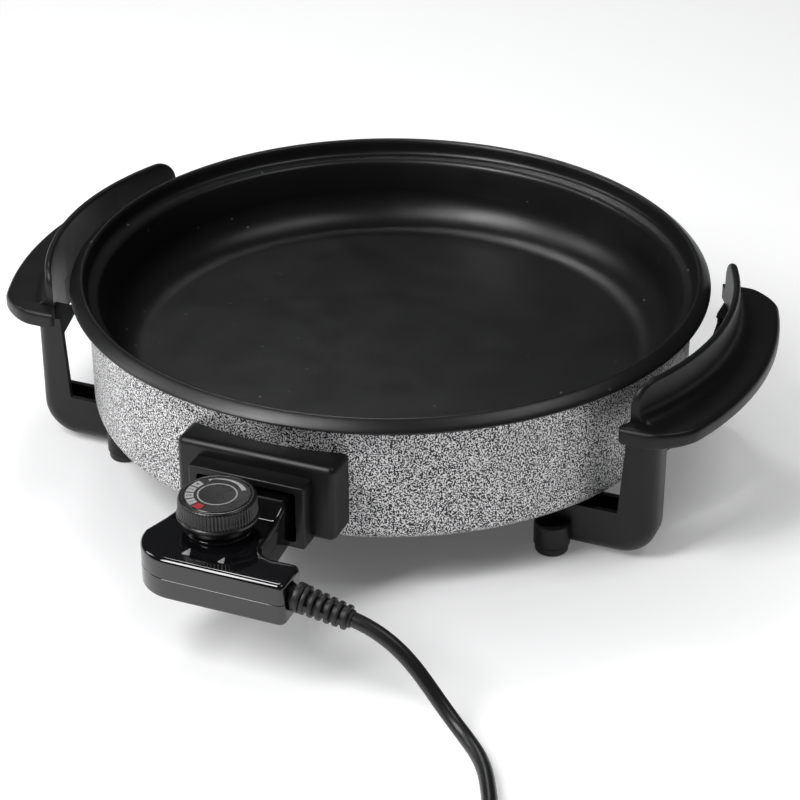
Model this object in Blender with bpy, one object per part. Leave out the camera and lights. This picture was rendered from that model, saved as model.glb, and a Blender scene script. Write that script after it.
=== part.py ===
"""Electric griddle pan: a round cast pan on four legs, with a pull-out thermostat on a mains cord.

Metres, +Z up. The pan stands on z = 0. The thermostat plugs into the front (-Y) and the two
handles are at -X and +X. The origin is under the middle of the griddle with its thermostat in
place, so the pan's own axis lies PAN_Y behind it. Every sub-part below is drawn about the pan's
axis and hangs from the "griddle" empty, which stands on that axis.
"""

from math import cos, pi, radians, sin, sqrt

import bmesh
import bpy
from mathutils import Matrix, Vector

# ---- driving dimensions ----
PAN_Y = 0.0465  # the pan's axis is this far behind the origin
GAP = 0.0003  # clearance between neighbouring pieces
TURNED_SIDES = 56  # sides of the large turned pieces
ROUND_SIDES = 16  # sides of the small turned pieces

# pan and outer shell
FLOOR_Z = 0.067  # the cooking surface
FLOOR_THICK = 0.005
FLOOR_R = 0.162  # flat part of the cooking surface
WALL_R = 0.186  # inside of the wall, above the fillet
LEDGE_IN_R, LEDGE_IN_Z = 0.1905, 0.1118
LEDGE_OUT_R, LEDGE_OUT_Z = 0.1962, 0.1145
RIM_R, RIM_EDGE_Z = 0.208, 0.1184  # the rim's outer edge
RIM_CREST_R, RIM_TOP = 0.2000, 0.1246  # the rim slopes down from here to its outer edge
SHELL_TOP_R, SHELL_TOP_Z = 0.1968, 0.1108
SHELL_LOW_R, SHELL_LOW_Z = 0.1964, 0.044
SHELL_BOTTOM = 0.0364
SHELL_THICK = 0.0012
FLANGE_IN_R = 0.178

# heating element, its terminals and the probe's guide
ELEMENT_R = 0.118
TUBE_R = 0.004
ELEMENT_Z = 0.0574
PIN_X, PIN_Z, PIN_R = 0.013, 0.068, 0.0024
PIN_BACK_Y, PIN_TIP_Y = -0.1966, -0.222
PROBE_Z, PROBE_R = 0.057, 0.0024
GUIDE_BORE_R = 0.0028
GUIDE_FRONT_Y, GUIDE_BACK_Y = -0.2066, -0.122

# socket housing on the front of the shell
BLOCK_HALF, BLOCK_LOW, BLOCK_HIGH = 0.0515, 0.0470, 0.0978
BLOCK_FRONT_Y = -0.2115
COLLAR_HALF, COLLAR_LOW, COLLAR_HIGH = 0.0373, 0.0467, 0.0887
COLLAR_FRONT_Y = -0.224
RECESS_HALF, RECESS_LOW, RECESS_HIGH = 0.032, 0.051, 0.0843
RECESS_BACK_Y = -0.207
SOCKET_SCREW_X, SOCKET_SCREW_Z = 0.042, 0.072

# handles
GRIP_LOW, GRIP_TOP, SHIELD_TOP = 0.092, 0.102, 0.1272
GRIP_ARC_X, GRIP_ARC_R = 0.0143, 0.2397  # plan arc of the outer edge
SHIELD_ARC_X, SHIELD_ARC_R = 0.0347, 0.1946  # plan arc of the shield's outer face
SHIELD_THICK = 0.0065
GRIP_MID = -0.005  # the handles sit a little forward of the pan's axis
SHIELD_END, SHIELD_CORNER = 0.094, 0.013  # half length of the shield and its end's rounding
GRIP_END = 0.105  # half length of the handle
TIP_FROM, TIP_X = 0.0845, 0.209  # the outer edge starts to turn in, and where it ends
TIP_CORNER, TIP_EDGE = 0.006, 0.0032  # inner corner of the tip, and its top edge's rounding
APRON_LOW, APRON_HALF, APRON_THICK = 0.0705, 0.0745, 0.003  # skirt under the inner edge

# legs and feet
LEG_FRONT, LEG_DEPTH, LEG_WALL = 0.0964, 0.0214, 0.0035
LEG_OUT_X, LEG_TOP = 0.2132, 0.0917
LEG_IN_X = {-1: (0.1899, 0.1935), 1: (0.1870, 0.2010)}  # inner side at the arm and at the top
LEG_CAP = 0.004
GUSSET_LOW = {-1: (0.0785, 0.0872), 1: (0.0705, 0.0705)}  # its foot at the leg's end wall and inwards
GUSSET_THICK = 0.0016
ARM_LOW, ARM_TOP, ARM_END_X = 0.0032, 0.0339, 0.146
LEG_BEND_R, LEG_EDGE_R = 0.022, 0.010
FOOT_X, FOOT_Y, FOOT_R = 0.1492, 0.099, 0.0105
BOSS_R, BOSS_LOW, BOSS_TOP = 0.0115, 0.0055, 0.0225
POST_X, POST_R = 0.167, 0.0055
GRIP_SCREW_X, GRIP_SCREW_Y = 0.2059, 0.088
GRIP_SCREW_HOLE_R = 0.0019

# thermostat
CASE_LOW, CASE_SEAM, CASE_TOP = 0.0485, 0.0620, 0.0755
CASE_WALL = 0.0025
NECK_HALF, NECK_LOW, NECK_TOP = 0.0285, 0.052, 0.0805
NECK_END_Y, NECK_STEP_Y, NECK_FOOT_Y = -0.213, -0.226, -0.246
KNOB_Y = -0.2603
KNOB_R, KNOB_FLANGE_R, KNOB_TOP = 0.0230, 0.0241, 0.0980
KNOB_LOW = 0.0806
BEZEL_R = 0.0190
SPINDLE_R = 0.003
RELIEF_START = (0.0555, -0.290, 0.0636)  # where its neck starts, inside the case's right wall
RELIEF_LENGTH, RELIEF_DROP = 0.0420, radians(11)

# cord
CORD_R = 0.0045
COIL_CENTRE = (0.192, -0.462)
COIL_IN_R, COIL_OUT_R, COIL_TOP = 0.0365, 0.0635, 0.0168
PLUG_BACK = (0.1375, -0.5075, 0.0128)  # middle of the plug's cord end


# ---- materials ----
def finish(name, colour, roughness, metallic=0.0):
    material = bpy.data.materials.new(name)
    material.use_nodes = True
    shader = material.node_tree.nodes["Principled BSDF"]
    shader.inputs["Base Color"].default_value = (*colour, 1.0)
    shader.inputs["Roughness"].default_value = roughness
    shader.inputs["Metallic"].default_value = metallic
    material.diffuse_color = (*colour, 1.0)
    return material


def make_finishes():
    return {
        "non_stick": finish("non_stick", (0.018, 0.018, 0.020), 0.38),
        "hammered_paint": finish("hammered_paint", (0.22, 0.22, 0.23), 0.42, 0.3),
        "bakelite": finish("bakelite", (0.016, 0.016, 0.018), 0.5),
        "case_plastic": finish("case_plastic", (0.010, 0.010, 0.012), 0.16),
        "dial_plastic": finish("dial_plastic", (0.020, 0.020, 0.022), 0.35),
        "rubber": finish("rubber", (0.018, 0.018, 0.018), 0.7),
        "cord_pvc": finish("cord_pvc", (0.015, 0.015, 0.017), 0.5),
        "steel": finish("steel", (0.55, 0.55, 0.55), 0.3, 1.0),
        "element_steel": finish("element_steel", (0.30, 0.29, 0.28), 0.45, 1.0),
        "brass": finish("brass", (0.70, 0.55, 0.28), 0.3, 1.0),
        "ceramic": finish("ceramic", (0.75, 0.73, 0.68), 0.6),
    }


# ---- shaping helpers ----
def place(name, mesh, material, parent, location=(0, 0, 0), turn=(0, 0, 0)):
    """Makes a node of a mesh, under its parent empty."""
    made = bpy.data.objects.new(name, mesh)
    made.data.materials.append(material)
    made.parent = parent
    made.location = location
    made.rotation_euler = turn
    bpy.context.scene.collection.objects.link(made)
    return made


def empty(name, location, parent=None):
    made = bpy.data.objects.new(name, None)
    made.location = location
    made.parent = parent
    bpy.context.scene.collection.objects.link(made)
    return made


def mesh_from(name, shape, smooth=35):
    """The bmesh as a mesh, facing out, smooth except at edges sharper than this many degrees."""
    bmesh.ops.recalc_face_normals(shape, faces=shape.faces)
    mesh = bpy.data.meshes.new(name)
    shape.to_mesh(mesh)
    shape.free()
    mesh.shade_smooth()
    mesh.set_sharp_from_angle(angle=radians(smooth))
    return mesh


def turned(name, profile, sides=ROUND_SIDES, smooth=35):
    """A solid of revolution about Z from the (radius, height) points of a closed outline."""
    shape = bmesh.new()
    points = [shape.verts.new((r, 0, z)) for r, z in profile]
    edges = [shape.edges.new(pair) for pair in zip(points, points[1:])]
    if profile[0][0] > 0:
        edges.append(shape.edges.new((points[-1], points[0])))
    bmesh.ops.spin(
        shape, geom=points + edges, cent=(0, 0, 0), axis=(0, 0, 1),
        angle=2 * pi, steps=sides, use_merge=True,
    )
    bmesh.ops.remove_doubles(shape, verts=shape.verts, dist=1e-6)
    return mesh_from(name, shape, smooth)


def lofted(name, rings, smooth=35):
    """A solid skinned over rings of equally many points, with a cap on the first and the last."""
    shape = bmesh.new()
    loops = [[shape.verts.new(point) for point in ring] for ring in rings]
    for low, high in zip(loops, loops[1:]):
        for i in range(len(low)):
            j = (i + 1) % len(low)
            shape.faces.new((low[i], low[j], high[j], high[i]))
    shape.faces.new(loops[0])
    shape.faces.new(reversed(loops[-1]))
    return mesh_from(name, shape, smooth)


def extruded(name, outline, low, high, smooth=35):
    """A prism on a plan outline, from one height to another."""
    return lofted(name, [[(x, y, z) for x, y in outline] for z in (low, high)], smooth)


def block(name, low, high, bevel=0.0):
    """A box between two opposite corners, with its edges rounded."""
    shape = bmesh.new()
    bmesh.ops.create_cube(shape, size=1.0)
    for vert in shape.verts:
        vert.co = [min(a, b) + abs(b - a) * (c + 0.5) for a, b, c in zip(low, high, vert.co)]
    if bevel:
        bmesh.ops.bevel(
            shape, geom=list(shape.edges), offset=bevel, segments=2, profile=0.5, affect="EDGES"
        )
    return mesh_from(name, shape)


def rod(name, radius, start, end, sides=ROUND_SIDES, tip=0.0):
    """A round bar between two points, with its far end chamfered by tip."""
    axis = Vector(end) - Vector(start)
    profile = [(0, 0), (radius, 0), (radius, axis.length - tip)]
    if tip:
        profile.append((radius - tip, axis.length))
    profile.append((0, axis.length))
    mesh = turned(name, profile, sides)
    turn = Vector((0, 0, 1)).rotation_difference(axis).to_matrix().to_4x4()
    mesh.transform(Matrix.Translation(start) @ turn)
    return mesh


def helper(mesh, parent):
    """A cutter or a piece to be united: it is left out of the model."""
    made = bpy.data.objects.new("cutter_" + mesh.name, mesh)
    made.parent = parent
    made.display_type = "WIRE"
    made.hide_render = True
    bpy.context.scene.collection.objects.link(made)
    return made


def combine(target, operation, *meshes):
    """Boolean the meshes with the target, in the target's parent's frame."""
    for mesh in meshes:
        step = target.modifiers.new(mesh.name, "BOOLEAN")
        step.operation = operation
        step.solver = "EXACT"
        step.object = helper(mesh, target.parent)


def tube(name, points, radius, material, parent, resolution=2):
    """A round tube with filled ends through a list of points."""
    curve = bpy.data.curves.new(name, "CURVE")
    curve.dimensions = "3D"
    curve.bevel_depth = radius
    curve.bevel_resolution = resolution
    curve.use_fill_caps = True
    spline = curve.splines.new("POLY")
    spline.points.add(len(points) - 1)
    for point, place_at in zip(spline.points, points):
        point.co = (*place_at, 1.0)
    return place(name, curve, material, parent)


def smooth_curve(route, step):
    """Points about step apart on a Catmull-Rom curve through the route's points."""
    route = [Vector(point) for point in route]
    ends = [2 * route[0] - route[1], *route, 2 * route[-1] - route[-2]]
    found = []
    for before, start, end, after in zip(ends, ends[1:], ends[2:], ends[3:]):
        pieces = max(1, round((end - start).length / step))
        for i in range(pieces):
            t = i / pieces
            found.append(
                0.5 * (2 * start + t * (end - before)
                       + t * t * (2 * before - 5 * start + 4 * end - after)
                       + t * t * t * (3 * start - before - 3 * end + after))
            )
    return [tuple(point) for point in found] + [tuple(route[-1])]


def arc(centre, radius, start, end, pieces):
    """Points on an arc in a plane, angles in degrees, both ends included."""
    angles = [radians(start + (end - start) * i / pieces) for i in range(pieces + 1)]
    return [(centre[0] + radius * cos(a), centre[1] + radius * sin(a)) for a in angles]


def ellipse_fillet(centre_r, centre_z, across, up, pieces=5):
    """The quarter ellipse that joins a floor to a wall, as (radius, height) points."""
    angles = [pi / 2 * i / pieces for i in range(pieces + 1)]
    return [(centre_r + across * sin(a), centre_z + up * (1 - cos(a))) for a in angles]


# ---- pan ----
def pan_profile():
    """Up the inside from the floor, over the ledge and the rim, and down the outside."""
    inside = ellipse_fillet(FLOOR_R, FLOOR_Z, WALL_R - FLOOR_R, 0.026)
    outside = ellipse_fillet(FLOOR_R, FLOOR_Z - FLOOR_THICK, WALL_R - FLOOR_R + 0.004, 0.031)
    rim = [
        (LEDGE_IN_R - 0.0012, LEDGE_IN_Z - 0.0022),
        (LEDGE_IN_R, LEDGE_IN_Z),
        (LEDGE_OUT_R, LEDGE_OUT_Z),
        (0.1974, 0.1166),
        (0.1986, 0.1236),
        (RIM_CREST_R, RIM_TOP),
        (0.2016, RIM_TOP - 0.0003),
        (0.2044, RIM_TOP - 0.0023),
        (0.2069, RIM_TOP - 0.0044),
        (RIM_R, RIM_EDGE_Z),
        (0.2075, RIM_EDGE_Z - 0.0011),
        (0.2062, RIM_EDGE_Z - 0.0009),
        (0.2016, 0.1198),
        (0.1994, 0.1152),
        (0.1970, 0.1122),
        (0.1945, 0.1108),
        (0.1920, 0.1085),
    ]
    return [(0, FLOOR_Z), *inside, *rim, *reversed(outside), (0, FLOOR_Z - FLOOR_THICK)]


def shell_profile():
    """The outer shell: down the outside, in along the bottom flange and up the inside."""
    slope = (SHELL_TOP_R - SHELL_LOW_R) / (SHELL_TOP_Z - SHELL_LOW_Z)
    bottom = SHELL_BOTTOM
    inner_low = SHELL_LOW_R - SHELL_THICK
    return [
        (SHELL_TOP_R, SHELL_TOP_Z),
        (SHELL_LOW_R, SHELL_LOW_Z),
        (SHELL_LOW_R - 0.0010, bottom + 0.0037),
        (SHELL_LOW_R - 0.0032, bottom + 0.0011),
        (SHELL_LOW_R - 0.0068, bottom),
        (FLANGE_IN_R, bottom),
        (FLANGE_IN_R, bottom + SHELL_THICK),
        (inner_low - 0.0054, bottom + SHELL_THICK),
        (inner_low - 0.0012, bottom + 0.0045),
        (inner_low, SHELL_LOW_Z + 0.001),
        (SHELL_TOP_R - SHELL_THICK, SHELL_TOP_Z),
    ]


def make_pan(finishes, griddle):
    """The pan, its outer shell, the heating element, the terminals and the probe's guide."""
    place("pan", turned("pan", pan_profile(), TURNED_SIDES), finishes["non_stick"], griddle)
    shell = place(
        "outer_shell", turned("outer_shell", shell_profile(), TURNED_SIDES, 50),
        finishes["hammered_paint"], griddle,
    )
    combine(shell, "DIFFERENCE", block("window", (-0.022, -0.212, 0.0505), (0.022, -0.185, 0.0755)))
    for side in (-1, 1):
        x, z = side * SOCKET_SCREW_X, SOCKET_SCREW_Z
        hole = rod(f"shell_hole_{side}", 0.0024, (x, -0.214, z), (x, -0.185, z), 12)
        combine(shell, "DIFFERENCE", hole)
        for end in (-1, 1):
            x, y = side * POST_X, end * (LEG_FRONT - LEG_DEPTH / 2)
            hole = rod(f"flange_hole_{side}_{end}", 0.0024, (x, y, 0.030), (x, y, 0.042), 12)
            combine(shell, "DIFFERENCE", hole)

    leads = [(PIN_X, -0.196, PIN_Z), (PIN_X, -0.1905, 0.0676), (PIN_X, -0.184, 0.0645)]
    leads += [(0.0132, -0.178, 0.0608), (0.0142, -0.170, 0.0582), (0.0165, -0.160, ELEMENT_Z)]
    leads += [(0.022, -0.146, ELEMENT_Z), (0.031, -0.130, ELEMENT_Z)]
    angles = [radians(-68 + 316 * i / 30) for i in range(31)]
    ring = [(ELEMENT_R * cos(a), ELEMENT_R * sin(a), ELEMENT_Z) for a in angles]
    back = [(-x, y, z) for x, y, z in reversed(leads)]
    tube("heating_element", leads + ring + back, TUBE_R, finishes["element_steel"], griddle)
    for side, word in ((-1, "left"), (1, "right")):
        start, end = (side * PIN_X, PIN_BACK_Y, PIN_Z), (side * PIN_X, PIN_TIP_Y, PIN_Z)
        pin = rod(f"terminal_pin_{word}", PIN_R, start, end, 16, 0.0008)
        place(f"terminal_pin_{word}", pin, finishes["steel"], griddle)

    length = GUIDE_BACK_Y - GUIDE_FRONT_Y
    guide = [
        (0, length - 0.002), (GUIDE_BORE_R, length - 0.002), (GUIDE_BORE_R, 0), (TUBE_R, 0),
        (TUBE_R, length), (0, length),
    ]
    place(
        "probe_guide", turned("probe_guide", guide), finishes["element_steel"], griddle,
        (0, GUIDE_FRONT_Y, PROBE_Z), (-pi / 2, 0, 0),
    )


# ---- socket housing ----
def make_socket(finishes, griddle):
    """The bakelite block on the front of the shell, with the collar that takes the thermostat."""
    low = (-BLOCK_HALF, BLOCK_FRONT_Y, BLOCK_LOW)
    body = block("socket_housing", low, (BLOCK_HALF, -0.180, BLOCK_HIGH), 0.0032)
    socket = place("socket_housing", body, finishes["bakelite"], griddle)
    low = (-COLLAR_HALF, COLLAR_FRONT_Y, COLLAR_LOW)
    collar = block("collar", low, (COLLAR_HALF, -0.208, COLLAR_HIGH), 0.0012)
    combine(socket, "UNION", collar)
    low = (-RECESS_HALF, COLLAR_FRONT_Y - 0.01, RECESS_LOW)
    recess = block("recess", low, (RECESS_HALF, RECESS_BACK_Y, RECESS_HIGH), 0.002)
    slope = (SHELL_TOP_R - SHELL_LOW_R) / (SHELL_TOP_Z - SHELL_LOW_Z)
    clear = 0.0004
    cone = [
        (0, 0.120), (SHELL_LOW_R + slope * (0.120 - SHELL_LOW_Z) + clear, 0.120),
        (SHELL_LOW_R + slope * (0.030 - SHELL_LOW_Z) + clear, 0.030), (0, 0.030),
    ]
    combine(socket, "DIFFERENCE", recess, turned("shell_clearance", cone, TURNED_SIDES))
    for side in (-1, 1):
        x, z = side * SOCKET_SCREW_X, SOCKET_SCREW_Z
        pilot = rod(f"pilot_{side}", 0.0023, (x, -0.190, z), (x, -0.2095, z), 12)
        x = side * PIN_X
        bore = rod(f"pin_bore_{side}", 0.0046, (x, -0.190, PIN_Z), (x, -0.210, PIN_Z))
        combine(socket, "DIFFERENCE", pilot, bore)
    bore = rod("guide_bore", 0.0045, (0, -0.190, PROBE_Z), (0, -0.210, PROBE_Z))
    combine(socket, "DIFFERENCE", bore)
    for side, word in ((-1, "left"), (1, "right")):
        screw = turned("socket_screw", screw_profile(0.004, 0.0024, 0.002, 0.0197), 12)
        place(
            f"socket_screw_{word}", screw, finishes["steel"], griddle,
            (side * SOCKET_SCREW_X, -0.1890, SOCKET_SCREW_Z), (pi / 2, 0, 0),
        )


def screw_profile(head_r, head_h, shaft_r, shaft_length):
    """A cheese-head screw along Z: its shaft points up from the head's underside at z = 0."""
    return [
        (0, -head_h), (head_r - 0.0004, -head_h), (head_r, -head_h + 0.0004), (head_r, 0),
        (shaft_r, 0), (shaft_r, shaft_length - 0.0015), (0, shaft_length),
    ]


# ---- handles ----
def quarter_drop(along):
    """How far a quarter circle of radius 1 has dropped at a place from 0 to 1 along it."""
    along = min(1.0, max(0.0, along))
    return 1 - sqrt(1 - along * along)


def grip_outer_x(y):
    """Plan of the handle's outer edge: an arc that turns in to the tip on an ellipse."""
    turn = quarter_drop((abs(y - GRIP_MID) - TIP_FROM) / (GRIP_END - TIP_FROM))
    edge = GRIP_ARC_X + sqrt(GRIP_ARC_R**2 - y * y)
    return edge - (edge - TIP_X) * turn


def grip_inner_x(y):
    """Plan of the inner face, which is the shield's inner face, rounded off at the tip."""
    face = SHIELD_ARC_X - SHIELD_THICK + sqrt(SHIELD_ARC_R**2 - y * y)
    return face + TIP_CORNER * quarter_drop((abs(y - GRIP_MID) - GRIP_END + TIP_CORNER) / TIP_CORNER)


def plate_top(y):
    """Height of the plate's upper face, rounded down at the very tip."""
    return GRIP_TOP - TIP_EDGE * quarter_drop((abs(y - GRIP_MID) - GRIP_END + TIP_EDGE) / TIP_EDGE)


def shield_top(y):
    """Height of the shield's top edge: level, with rounded ends above the plate."""
    reach = abs(y - GRIP_MID)
    if reach > SHIELD_END:
        return plate_top(y)
    return SHIELD_TOP - SHIELD_CORNER * quarter_drop((reach - SHIELD_END + SHIELD_CORNER) / SHIELD_CORNER)


def grip_section(side, y):
    """The handle's cross-section at one place along it: plate, fillet and upright shield."""
    inner, outer, top, plate = grip_inner_x(y), grip_outer_x(y), shield_top(y), plate_top(y)
    width = outer - inner
    rise = top - plate
    edge = min(0.0036, 0.3 * width)
    fillet = min(0.008, 0.5 * rise)
    face = inner + min(SHIELD_THICK - 0.0012, 0.4 * width)
    lip = min(0.0016, 0.3 * rise)
    points = [
        (inner, GRIP_LOW),
        (outer - 0.5 * edge, GRIP_LOW),
        (outer, GRIP_LOW + 0.002),
        (outer, plate - 0.0036),
        (outer - 0.3 * edge, plate - 0.0011),
        (outer - edge, plate),
        (min(face + fillet + 0.0012, outer - edge - 0.0002), plate),
        (face + 0.3 * fillet, plate + 0.3 * fillet),
        (face, plate + fillet),
        (face - 0.0004, top - lip),
        (face - 0.0016, top),
        (inner + 0.0012, top),
        (inner, top - lip),
        (inner, GRIP_LOW + 0.003),
    ]
    return [(side * x, y, z) for x, z in points]


def grip_stations():
    """Places along half the handle, closer together where the shape turns."""
    half = [0.0, 0.025, 0.050, 0.068, SHIELD_END - SHIELD_CORNER, 0.0862, 0.0902, 0.0928]
    half += [SHIELD_END, SHIELD_END + 0.0002, 0.0985, GRIP_END - TIP_EDGE, 0.1038, GRIP_END - 0.0002]
    return [GRIP_MID + y for y in [*(-y for y in reversed(half[1:])), *half]]


def apron(name, side):
    """The thin skirt that hangs from the handle's inner edge, between the legs."""
    rings = []
    for i in range(7):
        y = APRON_HALF * (i / 3 - 1)
        near = grip_inner_x(y) + 0.0004
        far = near + APRON_THICK
        corners = [(near, APRON_LOW), (far, APRON_LOW), (far, GRIP_LOW + 0.002), (near, GRIP_LOW + 0.002)]
        rings.append([(side * x, y, z) for x, z in corners])
    return lofted(name, rings)


def make_grips(finishes, griddle):
    for side, word in ((-1, "left"), (1, "right")):
        rings = [grip_section(side, y) for y in grip_stations()]
        grip = place(f"grip_{word}", lofted(f"grip_{word}", rings), finishes["bakelite"], griddle)
        combine(grip, "UNION", apron(f"apron_{side}", side))
        for end in (-1, 1):
            x, y = side * GRIP_SCREW_X, end * GRIP_SCREW_Y
            pilot = rod(
                f"grip_pilot_{side}_{end}", GRIP_SCREW_HOLE_R, (x, y, 0.090), (x, y, 0.0985), 10
            )
            combine(grip, "DIFFERENCE", pilot)


# ---- legs and feet ----
def leg_outline(end, inset, reach=0.0, top=LEG_TOP):
    """The L of a leg and its arm seen from the front, its outer side moved in by inset.

    reach moves the inner side out of the way, to make the cutter that hollows the leg.
    """
    out, low = LEG_OUT_X - inset, ARM_LOW + inset
    bend = LEG_BEND_R - 0.4 * inset
    corner = arc((out - bend, low + bend), bend, 0, -90, 5)
    at_arm, at_top = LEG_IN_X[end]
    inner = [
        (ARM_END_X - reach, low), (ARM_END_X - reach, ARM_TOP + reach),
        (at_arm - reach, ARM_TOP + reach), (at_top - reach, top),
    ]
    return [(out, top), *corner, *inner]


def leg_rings(inset, front, back, edge, side, end, reach=0.0, top=LEG_TOP):
    """Outlines from the front face to the back one, with the front outer edge rounded."""
    rings = []
    for i in range(4):
        angle = pi / 2 * i / 3
        away = inset + edge * (1 - sin(angle))
        y = front - edge * (1 - cos(angle))
        rings.append([(side * x, end * y, z) for x, z in leg_outline(end, away, reach, top)])
    rings.append([(side * x, end * back, z) for x, z in leg_outline(end, inset, reach, top)])
    return rings


def gusset(name, side, end):
    """The web that braces a leg's inner side under the handle."""
    front, back = LEG_FRONT - 0.5 * LEG_WALL, LEG_FRONT - LEG_DEPTH + GAP
    top = LEG_TOP - 0.5 * LEG_CAP
    front_low, back_low = GUSSET_LOW[end]
    outline = [(front, front_low), (back, back_low), (back, top), (front, top)]
    start = LEG_IN_X[end][1]
    return lofted(name, [
        [(side * x, end * y, z) for y, z in outline] for x in (start, start + GUSSET_THICK)
    ])


def make_legs(finishes, griddle):
    """Four legs: an angle-section upright, a channel-section arm, a foot and two screws."""
    back = LEG_FRONT - LEG_DEPTH
    post_y = LEG_FRONT - LEG_DEPTH / 2
    for side, left_right in ((-1, "left"), (1, "right")):
        for end, front_rear in ((-1, "front"), (1, "rear")):
            word = f"{front_rear}_{left_right}"
            solid = leg_rings(0.0, LEG_FRONT, back, LEG_EDGE_R, side, end)
            leg = place(f"leg_{word}", lofted(f"leg_{word}", solid), finishes["bakelite"], griddle)
            hollow = leg_rings(
                LEG_WALL, LEG_FRONT - LEG_WALL, back + LEG_WALL, LEG_EDGE_R - LEG_WALL,
                side, end, 0.012, LEG_TOP - LEG_CAP,
            )
            open_back = block(
                f"open_back_{word}",
                (side * (LEG_IN_X[end][0] - 0.010), end * (back - 0.001), ARM_TOP),
                (side * (LEG_OUT_X - LEG_WALL), end * (back + 2 * LEG_WALL), LEG_TOP - LEG_CAP),
            )
            combine(leg, "DIFFERENCE", lofted(f"channel_{word}", hollow), open_back)
            combine(leg, "UNION", gusset(f"gusset_{word}", side, end))
            x, y = side * FOOT_X, end * FOOT_Y
            post_x, post_foot = side * POST_X, end * post_y
            post = rod(
                f"post_{word}", POST_R, (post_x, post_foot, ARM_LOW + 0.001),
                (post_x, post_foot, SHELL_BOTTOM - 0.0004), 12,
            )
            boss = turned(
                f"boss_{word}",
                [(0, BOSS_LOW), (BOSS_R, BOSS_LOW), (BOSS_R, BOSS_TOP - 0.003),
                 (BOSS_R - 0.003, BOSS_TOP), (0, BOSS_TOP)],
            )
            boss.transform(Matrix.Translation((x, y, 0)))
            combine(leg, "UNION", post, boss)
            through = rod(
                f"through_{word}", 0.0023, (post_x, post_foot, 0), (post_x, post_foot, 0.045), 10
            )
            sink = rod(
                f"sink_{word}", 0.0046, (post_x, post_foot, 0), (post_x, post_foot, 0.0122), 12
            )
            stem_hole = rod(f"stem_hole_{word}", 0.0034, (x, y, 0), (x, y, 0.0155), 12)
            seat = rod(f"foot_seat_{word}", FOOT_R + 0.0005, (x, y, 0), (x, y, BOSS_LOW - 0.0001))
            grip_hole = rod(
                f"grip_hole_{word}", GRIP_SCREW_HOLE_R, (side * GRIP_SCREW_X, end * GRIP_SCREW_Y, 0.080),
                (side * GRIP_SCREW_X, end * GRIP_SCREW_Y, 0.095), 10,
            )
            combine(leg, "DIFFERENCE", through, sink, stem_hole, seat, grip_hole)

            foot = [
                (0, 0), (FOOT_R - 0.0015, 0), (FOOT_R, 0.0015), (FOOT_R, BOSS_LOW - GAP),
                (0.0030, BOSS_LOW - GAP), (0.0030, 0.0145), (0, 0.0145),
            ]
            place(f"foot_{word}", turned(f"foot_{word}", foot), finishes["rubber"], griddle, (x, y, 0))
            screw = turned("leg_screw", screw_profile(0.0042, 0.0026, 0.002, 0.029), 12)
            place(
                f"leg_screw_{word}", screw, finishes["steel"], griddle,
                (post_x, post_foot, 0.0122 - GAP),
            )
            screw = turned("grip_screw", screw_profile(0.0030, 0.0022, 0.0016, 0.0106), 10)
            place(
                f"grip_screw_{word}", screw, finishes["steel"], griddle,
                (side * GRIP_SCREW_X, end * GRIP_SCREW_Y, LEG_TOP - LEG_CAP - GAP),
            )


# ---- thermostat ----
def case_outline(inset):
    """Plan of the thermostat's case: a neck that flares to the left and a wing to the right."""
    big, small = 0.026 - inset, 0.004
    left_x, front_y, right_x, wing_y = -0.039 + inset, -0.303 + inset, 0.060 - inset, -0.2775 - inset
    corner_left = arc((left_x + big, front_y + big), big, 180, 270, 8)
    corner_front = arc((right_x - small, front_y + small), small, 270, 360, 2)
    corner_wing = arc((right_x - small, wing_y - small), small, 0, 90, 2)
    hollow = arc((0.0425 - inset, -0.2665 - inset), 0.011, 270, 180, 4)
    neck = NECK_HALF - inset
    flare = [(-neck - 0.0004, -0.232), (-neck - 0.0024, -0.246), (-neck - 0.0056, -0.261)]
    outline = [(-neck, NECK_STEP_Y), *flare, *corner_left, *corner_front, *corner_wing]
    return outline + [*hollow, (neck + 0.0012, -0.245), (neck, NECK_STEP_Y)]


def neck_ramp(inset, low):
    """The top of the neck, level as far as the socket and then sloping down to the case."""
    end = NECK_END_Y + (0.010 if inset else 0.0)
    top, half = NECK_TOP - inset, NECK_HALF - inset
    outline = [
        (end, low), (end, top - 0.001), (end - 0.001, top), (NECK_STEP_Y - 0.002, top),
        (NECK_FOOT_Y, CASE_TOP - inset), (NECK_FOOT_Y, low),
    ]
    return [[(x, y, z) for y, z in outline] for x in (-half, half)]


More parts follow.
